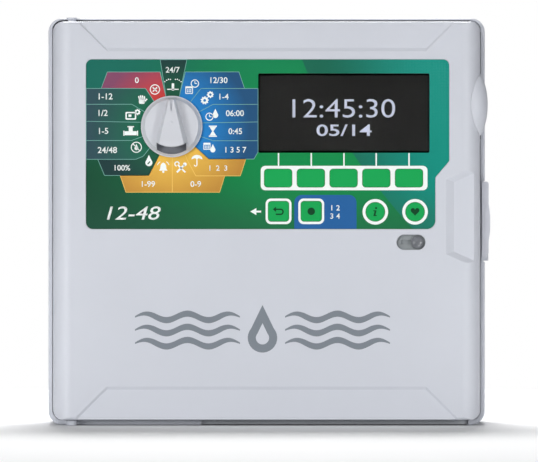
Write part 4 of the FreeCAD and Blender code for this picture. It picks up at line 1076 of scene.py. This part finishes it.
@dataclass
class DialArt:
    """Printed sectors, borders, pictograms and figures round the dial."""

    centre_x = -75.7
    centre_z = 75.7
    sectors: dict = field(default_factory=lambda: {
        "auto": [(-84.9, 129.1), (-80.3, 99.7), (-69.5, 99.7), (-63.6, 129.1)],
        "off": [(-127.1, 119.3), (-84.9, 119.3), (-80.3, 99.7), (-90.5, 96.5), (-96.6, 106.1),
                (-132.0, 106.1)],
        "date": [(-64.8, 119.3), (-22.1, 119.3), (-17.6, 106.1), (-52.4, 106.1), (-59.6, 97.1),
                 (-69.5, 99.7)],
        "setup": [(-52.4, 106.1), (-6.85, 106.1), (-6.85, 93.4), (-42.8, 93.4), (-50.5, 89.2), (-54.8, 87.3),
                  (-59.6, 97.1)],
        "start": [(-42.8, 93.4), (-6.85, 93.4), (-6.85, 79.4), (-50.0, 79.4), (-51.6, 79.0), (-54.8, 87.3),
                  (-50.5, 89.2)],
        "run": [(-50.0, 79.4), (-6.85, 79.4), (-6.85, 64.4), (-42.8, 64.4), (-50.5, 67.1), (-52.4, 68.2),
                (-51.6, 79.0)],
        "days": [(-42.8, 64.4), (-6.85, 64.4), (-6.85, 55.4), (-10.1, 49.8), (-46.0, 49.8), (-55.0, 58.2),
                 (-52.4, 68.2), (-50.5, 67.1)],
        "weather": [(-46.0, 49.8), (-16.6, 49.8), (-21.0, 36.4), (-56.5, 36.4), (-63.3, 49.0), (-64.4, 53.0),
                    (-55.0, 58.2)],
        "checks": [(-75.2, 51.4), (-64.4, 53.0), (-63.3, 49.0), (-56.5, 36.4), (-33.4, 36.4), (-37.5, 23.3),
                   (-75.2, 23.3)],
        "alarms": [(-86.5, 49.6), (-94.1, 36.7), (-116.8, 36.7), (-112.2, 23.3), (-75.2, 23.3),
                   (-75.2, 51.4)],
        "season": [(-134.7, 49.6), (-129.3, 36.7), (-94.1, 36.7), (-86.5, 49.6), (-86.0, 53.8), (-95.0, 57.7),
                   (-98.5, 52.0), (-104.3, 49.6)],
        "delay": [(-144.0, 64.6), (-107.7, 64.6), (-99.6, 67.6), (-95.0, 57.7), (-98.5, 52.0), (-104.3, 49.6),
                  (-144.0, 49.6)],
        "flow": [(-144.0, 79.9), (-100.3, 79.9), (-99.6, 67.6), (-107.7, 64.6), (-144.0, 64.6)],
        "settings": [(-144.0, 93.5), (-107.5, 93.5), (-99.2, 88.2), (-100.3, 79.9), (-144.0, 79.9)],
        "manual": [(-144.0, 106.1), (-96.6, 106.1), (-90.5, 96.5), (-99.2, 88.2), (-107.5, 93.5),
                   (-144.0, 93.5)],
    })
    inks: dict = field(default_factory=lambda: {
        "red": (INK_RED, ("off",)), "blue": (INK_BLUE, ("date", "setup", "start", "run", "days")),
        "amber": (INK_AMBER, ("weather", "checks", "alarms")), "deep": (INK_DEEP, ("auto", "season")),
        "shade": (INK_SHADE, ("delay", "flow", "settings", "manual"))})
    figures: tuple = (
        ("0", -103.5, 112.7, 4.6), ("24/7", -74.9, 121.0, 4.4), ("12/30", -38.0, 112.7, 4.6),
        ("1-4", -34.0, 99.6, 4.6), ("06:00", -25.3, 86.4, 4.6), ("0:45", -25.0, 72.0, 4.6),
        ("1 3 5 7", -24.5, 57.2, 4.4), ("1  2  3", -38.5, 42.6, 4.2), ("0-9", -56.5, 29.9, 4.6),
        ("1-99", -94.3, 29.9, 4.6), ("100%", -115.0, 42.8, 4.4), ("24/48", -127.0, 57.0, 4.8),
        ("1-5", -130.0, 72.2, 4.8), ("1/2", -130.4, 86.6, 4.8), ("1-12", -128.4, 99.8, 4.8))

    def reach_in(self, loop: Loop) -> Loop:
        """Sector outline with the points at the dial's rim pulled under the dial."""
        inner = []
        for x, z in loop:
            dx, dz = x - self.centre_x, z - self.centre_z
            far = math.hypot(dx, dz)
            pull = 20.0 / far if far < 28.5 else 1.0
            inner.append((self.centre_x + dx * pull, self.centre_z + dz * pull))
        return inner

    def build(self) -> None:
        """Prints the sectors, their borders, the pictograms and the figures."""
        for name, (finish, members) in self.inks.items():
            piece = Print(f"sectors_{name}", finish, front=Layer.SECTOR.value)
            for member in members:
                piece.draw([self.reach_in(self.sectors[member])])
            piece.finish_piece()
        cool = Print("sector_borders", INK_LINE, front=Layer.LINE.value)
        warm = Print("sector_borders_warm", INK_LINE_WARM, front=Layer.LINE.value)
        warm_names = ("weather", "checks", "alarms")
        for target, chosen in ((warm, True), (cool, False)):
            loops = [self.reach_in(loop) for name, loop in self.sectors.items()
                     if (name in warm_names) == chosen]
            target.draw(*(bar(*a, *b, 0.42) for a, b in merged_edges(loops)))
        cool.finish_piece()
        warm.finish_piece()
        marks = Print("sector_pictograms", INK_WHITE)
        for shapes in (self.off(), self.sprinkler(), self.calendar_clock(), self.gears(), self.start_drop(),
                       self.hourglass(), self.calendar_drop(), self.umbrella(), self.tools(), self.bell(),
                       self.dial_drop(), self.no_water(), self.tee(), self.panel(), self.hand()):
            marks.draw(*shapes)
        marks.finish_piece()
        numbers = Print("sector_figures", INK_WHITE)
        for text, x, z, height in self.figures:
            numbers.write(text, x, z, height)
        numbers.finish_piece()

    def off(self) -> list[Shape]:
        """Cross in a ring."""
        x, z = -89.1, 105.3
        cross = [bar(x - 1.7, z - 1.7 * s, x + 1.7, z + 1.7 * s, 0.95) for s in (-1, 1)]
        return [ring(x, z, 4.1, 0.75)] + cross

    def sprinkler(self) -> list[Shape]:
        """Pop-up head with spray to both sides."""
        x, z = -74.7, 107.6
        shapes = [[rounded(x - 1.0, x + 1.0, z - 3.2, z + 2.6, 0.4)],
                  bar(x - 4.6, z - 2.2, x + 4.6, z - 2.2, 0.8)]
        for s in (-1, 1):
            shapes += [[circle(x + s * (2.0 + 1.5 * i), z + 4.6 + 1.3 * math.sin(1.0 + 0.9 * i), 0.5, 10)]
                       for i in range(4)]
        return shapes

    def calendar(self, x: float, z: float, size: float) -> list[Shape]:
        """Small page with a header and dates."""
        outer = rounded(x - size / 2, x + size / 2, z - size / 2, z + size / 2, 0.5)
        inner = rounded(x - size / 2 + 0.6, x + size / 2 - 0.6, z - size / 2 + 0.6, z + size / 2 - 1.6, 0.2)
        dots = [[rounded(x + dx - 0.45, x + dx + 0.45, z + dz - 0.45, z + dz + 0.45, 0.1)]
                for dx in (-1.3, 0.0, 1.3) for dz in (-1.3, 0.1)]
        return [[outer, inner[::-1]]] + dots

    def clock(self, x: float, z: float, radius: float) -> list[Shape]:
        """Clock face with two hands."""
        return [ring(x, z, radius, 0.7), bar(x, z, x, z + radius * 0.6, 0.6),
                bar(x, z, x + radius * 0.5, z, 0.6)]

    def calendar_clock(self) -> list[Shape]:
        """Page with a clock at its corner."""
        return self.calendar(-61.8, 104.8, 6.0) + self.clock(-57.2, 110.0, 3.3)

    def gears(self) -> list[Shape]:
        """Two gears."""
        return [gear(-49.4, 96.6, 3.3, 9), gear(-44.9, 101.2, 2.8, 8)]

    def start_drop(self) -> list[Shape]:
        """Clock with a drop."""
        return self.clock(-45.6, 83.6, 3.2) + [[drop(-40.9, 86.2, 7.4)]]

    def hourglass(self) -> list[Shape]:
        """Hourglass."""
        x, z = -42.9, 72.0
        glass = [(x - 2.6, z + 3.4), (x + 2.6, z + 3.4), (x + 0.5, z), (x + 2.6, z - 3.4), (x - 2.6, z - 3.4),
                 (x - 0.5, z)]
        return [[glass], bar(x - 3.2, z + 4.0, x + 3.2, z + 4.0, 0.9),
                bar(x - 3.2, z - 4.0, x + 3.2, z - 4.0, 0.9)]

    def calendar_drop(self) -> list[Shape]:
        """Page with a drop."""
        return self.calendar(-47.6, 60.0, 5.6) + [[drop(-42.9, 58.4, 6.6)]]

    def umbrella(self) -> list[Shape]:
        """Umbrella with rain marks."""
        x, z = -55.6, 49.6
        top = [(x + 4.4 * math.cos(math.radians(a)), z + 4.4 * math.sin(math.radians(a)) * 0.8)
               for a in range(0, 181, 12)]
        return [[top + [(x - 1.5, z + 0.9), (x, z), (x + 1.5, z + 0.9)]], bar(x, z, x, z - 4.4, 0.8),
                arc(x - 1.0, z - 4.4, 1.4, 0.7, 180, 360)]

    def tools(self) -> list[Shape]:
        """Crossed driver and spanner."""
        x, z = -68.2, 42.6
        return [bar(x - 3.4, z - 3.4, x + 2.6, z + 2.6, 1.5), bar(x + 3.4, z - 3.4, x - 2.6, z + 2.6, 1.2),
                arc(x - 3.3, z + 3.3, 2.2, 1.0, -10, 260), [circle(x + 3.0, z + 3.0, 1.5, 12)]]

    def bell(self) -> list[Shape]:
        """Bell with ringing marks."""
        x, z = -82.4, 43.4
        body = [(x - 3.4, z - 2.8), (x - 2.4, z - 1.4), (x - 2.2, z + 1.2), (x - 1.2, z + 3.0), (x, z + 3.6),
                (x + 1.2, z + 3.0), (x + 2.2, z + 1.2), (x + 2.4, z - 1.4), (x + 3.4, z - 2.8)]
        return [[body], [circle(x, z - 3.8, 0.9, 12)], arc(x, z, 5.2, 0.6, 20, 60),
                arc(x, z, 5.2, 0.6, 120, 160)]

    def dial_drop(self) -> list[Shape]:
        """Drop with a cut mark."""
        x, z = -93.9, 48.6
        glint = [(x - 1.3, z - 2.6), (x + 0.7, z - 0.4), (x + 1.3, z - 1.0), (x - 0.7, z - 3.2)]
        return [[drop(x, z, 9.0), glint]]

    def no_water(self) -> list[Shape]:
        """Struck-out drop."""
        x, z = -103.9, 59.2
        return [ring(x, z, 4.4, 0.7), [drop(x, z + 0.2, 5.0)], bar(x - 2.8, z + 2.8, x + 2.8, z - 2.8, 0.7)]

    def tee(self) -> list[Shape]:
        """Pipe tee with a sensor."""
        x, z = -108.4, 71.8
        return [[rounded(x - 4.8, x + 4.8, z - 3.0, z + 0.2, 0.6)],
                [rounded(x - 1.6, x + 1.6, z, z + 3.6, 0.4)],
                bar(x - 2.6, z + 3.8, x + 2.6, z + 3.8, 0.9), bar(x - 5.4, z - 3.4, x - 5.4, z + 0.6, 0.9),
                bar(x + 5.4, z - 3.4, x + 5.4, z + 0.6, 0.9)]

    def panel(self) -> list[Shape]:
        """Small panel with a gear."""
        x, z = -108.0, 84.4
        outer = rounded(x - 4.6, x + 4.0, z - 3.2, z + 3.0, 1.0)
        inner = rounded(x - 3.5, x + 2.9, z - 2.1, z + 1.9, 0.6)
        button = rounded(x - 2.2, x + 0.2, z - 1.0, z + 1.0, 0.3)
        return [[outer, inner[::-1]], [button], gear(x + 5.0, z + 2.9, 2.5)]

    def hand(self) -> list[Shape]:
        """Open hand."""
        x, z = -99.3, 97.2
        palm = [[rounded(x - 2.6, x + 2.2, z - 3.4, z + 0.8, 1.2)]]
        return palm + [bar(x - 2.0 + 1.35 * i, z, x - 2.8 + 1.5 * i, z + 3.6 - 0.5 * abs(i - 1.5), 1.05)
                       for i in range(4)] + [bar(x + 1.4, z - 2.0, x + 4.0, z + 0.6, 1.1)]


@dataclass
class KeyArt:
    """White frames round the keys, marks on them, and the loose prints of the lower label."""

    soft_x: tuple = (9.2, 35.3, 61.4, 87.5, 113.6)
    soft_z: float = 34.6
    soft_w: float = 21.9
    soft_h: float = 14.3
    square_x: tuple = (9.5, 35.6)
    square_z: float = 8.1
    round_x: tuple = (86.7, 118.4)
    round_z: float = 7.7
    gap: float = 0.35
    key_face: float = -122.6

    def build(self) -> None:
        """Dresses the keys and prints everything about them."""
        dress(KEY, *(f"softkey_{i + 1}" for i in range(5)), "back_key", "program_key", "info_key",
              "favourite_key")
        self.frames()
        self.key_marks()
        self.label_prints()

    def frames(self) -> None:
        """White frames with an opening for each key, and the ticks up to the display."""
        white = Print("key_frames", INK_WHITE, front=Layer.LINE.value)
        g = self.gap
        holes = [rounded(x - self.soft_w / 2 - g, x + self.soft_w / 2 + g, self.soft_z - self.soft_h / 2 - g,
                         self.soft_z + self.soft_h / 2 + g, 2.9)[::-1] for x in self.soft_x]
        white.draw([rounded(-4.7, 128.3, 24.9, 44.4, 3.6)] + holes)
        for x in self.square_x:
            white.draw([rounded(x - 10.3, x + 10.3, self.square_z - 10.2, self.square_z + 10.2, 4.2),
                        self.square_hole(x)[::-1]])
        for x in self.round_x:
            white.draw([circle(x, self.round_z, 10.2, 48), circle(x, self.round_z, 7.5 + g, 48)[::-1]])
        for x in (9.5, 35.6, 61.7, 87.4, 113.6):
            white.draw(bar(x, 44.2, x, 54.6, 1.1))
        white.finish_piece()
        patch = Print("program_patch", INK_PATCH, front=Layer.SECTOR.value)
        opening = self.square_hole(self.square_x[1])
        outline = [(22.1, -5.9), (71.7, -5.9)]
        outline += [(65.7 + 6 * math.cos(math.radians(a)), 15.2 + 6 * math.sin(math.radians(a)))
                    for a in range(0, 91, 15)]
        outline += [(28.1 + 6 * math.cos(math.radians(a)), 15.2 + 6 * math.sin(math.radians(a)))
                    for a in range(90, 181, 15)]
        patch.draw([outline, opening[::-1]]).finish_piece()

    def square_hole(self, x: float) -> Loop:
        """Opening round the square key at x."""
        wide, high = 8.15 + self.gap, 7.95 + self.gap
        return rounded(x - wide, x + wide, self.square_z - high, self.square_z + high, 2.8)

    def on_key(self, name: str, body: str) -> Print:
        """A dark mark that rides on a key."""
        return Print(name, INK_DARK, body, self.key_face - 0.03, self.key_face + 0.05, "key_green")

    def key_marks(self) -> None:
        """Return arrow, dot, information mark and heart."""
        x, z = self.square_x[0], self.square_z
        back = self.on_key("back_mark", "back_key")
        back.draw(bar(x - 2.6, z + 1.6, x + 1.6, z + 1.6, 1.2), arc(x + 1.6, z - 0.4, 2.6, 1.2, -90, 90),
                  bar(x - 2.2, z - 2.4, x + 1.6, z - 2.4, 1.2),
                  [[(x - 4.6, z + 1.6), (x - 2.0, z + 3.7), (x - 2.0, z - 0.5)]])
        back.finish_piece()
        x = self.square_x[1]
        self.on_key("program_mark", "program_key").draw([circle(x, z, 3.0)]).finish_piece()
        x, z = self.round_x[0], self.round_z
        info = self.on_key("info_mark", "info_key")
        info.draw([circle(x + 0.6, z + 3.0, 0.85, 14)],
                  [[(x - 1.6, z + 1.2), (x + 1.0, z + 1.2), (x + 0.1, z - 2.6), (x + 1.2, z - 2.6),
                    (x + 0.9, z - 3.4), (x - 1.6, z - 3.4), (x - 0.6, z + 0.4), (x - 1.7, z + 0.4)]])
        info.finish_piece()
        x = self.round_x[1]
        heart = [(16 * math.sin(t) ** 3, 13 * math.cos(t) - 5 * math.cos(2 * t) - 2 * math.cos(3 * t) -
                  math.cos(4 * t)) for t in (2 * math.pi * i / 40 for i in range(40))]
        self.on_key("favourite_mark", "favourite_key").draw(
            [[(x + 0.22 * u, z + 0.22 * v + 0.4) for u, v in heart]]).finish_piece()

    def label_prints(self) -> None:
        """Station range, back pointer and program numbers on the label."""
        white = Print("label_figures", INK_WHITE)
        white.write("12-48", -106.0, 6.7, 10.6, slant=0.22, bold=0.004, width=43.0)
        white.draw([[(-13.0, 7.9), (-8.2, 10.7), (-8.2, 5.1)]], bar(-8.4, 7.9, -4.4, 7.9, 1.5))
        for text, x, z in (("1", 52.0, 10.9), ("2", 57.0, 10.9), ("3", 52.0, 4.3), ("4", 57.0, 4.3)):
            white.write(text, x, z, 4.2)
        white.finish_piece()


@dataclass
class DisplayArt:
    """Lit figures on the display, behind its window."""

    surface: float = -117.6

    def build(self) -> None:
        """Prints the time and the date line."""
        lit = Print("display_figures", DIGITS, front=self.surface - 0.04, back=self.surface + 0.05,
                    slot="display_black")
        lit.write("12:45:30", 61.6, 90.3, 15.0, bold=-0.004, width=82.0)
        lit.write("05/14", 61.8, 72.8, 9.0, bold=0.012, width=44.0)
        lit.finish_piece()


@dataclass
class ServiceRibbon:
    """Flat cable between the backplane and the door, folded in a service loop.

    Attributes:
        route: Corners of the run in plan, each with its bend radius.
        low, high: Lower and upper edge of the ribbon.
        cores: Number of conductors.
    """

    route: tuple = ((-120.0, -21.0, 0.0), (-120.0, -76.0, 6.9), (-134.0, -76.0, 6.9), (-134.0, -32.0, 6.9),
                    (-148.0, -32.0, 6.9), (-148.0, -86.0, 8.0), (-104.0, -86.0, 8.0), (-104.0, -105.0, 0.0))
    low: float = 45.2
    high: float = 74.8
    cores: int = 14
    thick: float = 0.9

    def centre_line(self) -> list[Vector]:
        """Evenly spaced points along the rounded route."""
        raw: list[Vector] = []
        pts = [Vector((x, y)) for x, y, _ in self.route]
        for i, (x, y, radius) in enumerate(self.route):
            here = pts[i]
            if not radius:
                raw.append(here)
                continue
            into, out = (pts[i - 1] - here).normalized(), (pts[i + 1] - here).normalized()
            half = into.angle(out) / 2
            centre = here + (into + out).normalized() * (radius / math.sin(half))
            start, stop = here + into * (radius / math.tan(half)), here + out * (radius / math.tan(half))
            a, b = start - centre, stop - centre
            turn = a.angle_signed(b)
            for k in range(9):
                angle = -turn * k / 8
                raw.append(centre + Vector((a.x * math.cos(angle) - a.y * math.sin(angle),
                                            a.x * math.sin(angle) + a.y * math.cos(angle))))
        line = [raw[0]]
        for point in raw[1:]:
            gap = (point - line[-1]).length
            steps = max(1, round(gap / 2.5))
            base = line[-1]
            line += [base.lerp(point, (k + 1) / steps) for k in range(steps)] if gap > 1e-4 else []
        return line

    def build(self) -> None:
        """Builds the ribbed strip in place of the imported ribbon, and its two plugs."""
        line, shape, rows = self.centre_line(), bmesh.new(), []
        per = 4
        count = self.cores * per
        for i, point in enumerate(line):
            ahead, behind = line[min(i + 1, len(line) - 1)], line[max(i - 1, 0)]
            along = (ahead - behind).normalized()
            side = Vector((-along.y, along.x))
            row = []
            for face in (1, -1):
                order = range(count + 1) if face == 1 else range(count, -1, -1)
                for k in order:
                    z = self.low + (self.high - self.low) * k / count
                    half = self.thick / 2 * (0.62 + 0.38 * abs(math.sin(math.pi * k / per)))
                    spot = point + side * half * face
                    row.append(shape.verts.new((spot.x * MM, spot.y * MM, z * MM)))
            rows.append(row)
        size = len(rows[0])
        for a, b in zip(rows, rows[1:]):
            for k in range(size):
                shape.faces.new((a[k], a[(k + 1) % size], b[(k + 1) % size], b[k]))
        shape.faces.new(rows[0][::-1])
        shape.faces.new(rows[-1])
        bmesh.ops.recalc_face_normals(shape, faces=shape.faces[:])
        strip = new_piece("service_ribbon", shape, material_of(RIBBON))
        for polygon in strip.data.polygons:
            polygon.use_smooth = True
        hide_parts("ribbon_cable")
        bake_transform(strip)
        self.plug("ribbon_plug_cabinet", "cabinet", -122.0, -118.0, -23.0, -18.2)
        self.plug("ribbon_plug_door", "door", -106.0, -102.0, -108.2, -103.0)

    def plug(self, name: str, body: str, x0: float, x1: float, y0: float, y1: float) -> None:
        """Crimped plug: a block with rounded edges.

        Args:
            name: The piece's name.
            body: The body it rides on.
            x0, x1, y0, y1: Its limits in plan.
        """
        shape = bmesh.new()
        bmesh.ops.create_cube(shape, size=1.0)
        for vert in shape.verts:
            vert.co = Vector(((x0 + x1) / 2 + vert.co.x * (x1 - x0), (y0 + y1) / 2 + vert.co.y * (y1 - y0),
                              60.0 + vert.co.z * 31.0)) * MM
        bmesh.ops.bevel(shape, geom=shape.edges[:], offset=0.4 * MM, segments=2, affect="EDGES")
        plug = new_piece(name, shape, material_of(PARTS))
        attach(plug, body)


@dataclass
class Studio:
    """Pale round floor, pale surroundings, soft lights and a long-lens camera.

    Attributes:
        distance: Camera distance from the face in metres.
        view_width: Width seen at the face in metres.
        aim: Point the camera looks at.
        lift: Camera height above the aim, in degrees.
        floor_z, floor_radius: Height and radius of the floor in metres.
        surround: Brightness of the surroundings.
        lamps: Name, place, target, size in metres and power in watts of each lamp.
    """

    distance: float = 4.6
    view_width: float = 0.4293
    aim: tuple = (0.0019, -0.120, -0.0076)
    lift: float = 0.0
    floor_z: float = -0.1631
    floor_radius: float = 0.95
    surround: float = 0.17
    lamps: tuple = (("top_light", (-1.2, -4.5, 2.8), (0.0, -0.1, 0.0), 1.2, 66.0),
                    ("rear_light", (0.0, 0.85, 1.7), (0.0, -0.25, -0.16), 0.7, 33.0),
                    ("left_light", (-4.0, -6.0, 0.8), (0.0, -0.05, 0.0), 1.6, 168.0),
                    ("right_light", (4.0, -6.0, 0.5), (0.0, -0.05, 0.0), 1.2, 110.0),
                    ("floor_light", (0.0, 2.0, 2.2), (0.0, 1.3, -0.16), 1.0, 38.0))

    def build(self) -> None:
        """Builds the stage, lights and camera."""
        self.camera()
        self.floor()
        self.lights()
        self.world()

    def camera(self) -> None:
        """Camera straight in front, with a long lens."""
        data = bpy.data.cameras.new("camera")
        data.sensor_width = 36.0
        data.lens = 36.0 * self.distance / self.view_width
        data.clip_end = 100.0
        camera = bpy.data.objects.new("camera", data)
        rise = math.radians(self.lift)
        aim = Vector(self.aim)
        camera.location = aim + Vector((0, -math.cos(rise), math.sin(rise))) * self.distance
        camera.rotation_euler = (aim - camera.location).to_track_quat("-Z", "Y").to_euler()
        bpy.context.scene.collection.objects.link(camera)
        bpy.context.scene.camera = camera

    def floor(self) -> None:
        """Round pale floor; past its rim the surroundings are as pale."""
        shape = bmesh.new()
        rim = circle(0.0, 0.0, self.floor_radius, 96)
        shape.faces.new([shape.verts.new((x, y, self.floor_z)) for x, y in rim])
        finish = MouldedPlastic("studio_floor", (0.93, 0.93, 0.93), 0.8, grain=40.0, relief=0.0001,
                                cloud=0.01)
        new_piece("studio_floor", shape, material_of(finish))

    def lights(self) -> None:
        """Large soft lamps: in front from above, left and right, and behind on the floor."""
        for name, spot, target, size, power in self.lamps:
            data = bpy.data.lights.new(name, "AREA")
            data.shape, data.size, data.energy = "SQUARE", size, power
            lamp = bpy.data.objects.new(name, data)
            lamp.location = spot
            lamp.rotation_euler = (Vector(target) - Vector(spot)).to_track_quat("-Z", "Y").to_euler()
            bpy.context.scene.collection.objects.link(lamp)

    def world(self) -> None:
        """White surroundings with a darker patch behind the camera for the window to mirror."""
        world = bpy.data.worlds.new("studio")
        world.use_nodes = True
        net = Net(world.node_tree)
        base = world.node_tree.nodes["Background"]
        split = net.add("SeparateXYZ")
        net.join(net.add("TexCoord").outputs["Generated"], split.inputs[0])
        toward = net.ramp(net.math("MULTIPLY", split.outputs["Y"], -1.0), 0.90, 0.985)
        room = net.blend(toward, (0.95, 0.96, 1.0), (0.06, 0.06, 0.065))
        level = 1.0 / self.surround
        seen = net.add("LightPath").outputs["Is Camera Ray"]
        net.join(net.blend(seen, room, (level, level, level)), base.inputs["Color"])
        base.inputs["Strength"].default_value = self.surround
        bpy.context.scene.world = world


def main() -> None:
    """Builds every sub-assembly and the studio."""
    logging.basicConfig(level=logging.INFO, format="%(name)s: %(message)s")
    bpy.context.scene.view_settings.view_transform = "Standard"
    for part in (Studio(), Cabinet(), ControlDoor(), DialArt(), KeyArt(), DisplayArt(), ServiceRibbon()):
        LOG.info("building %s", type(part).__name__)
        part.build()


if __name__ == "__main__":
    main()
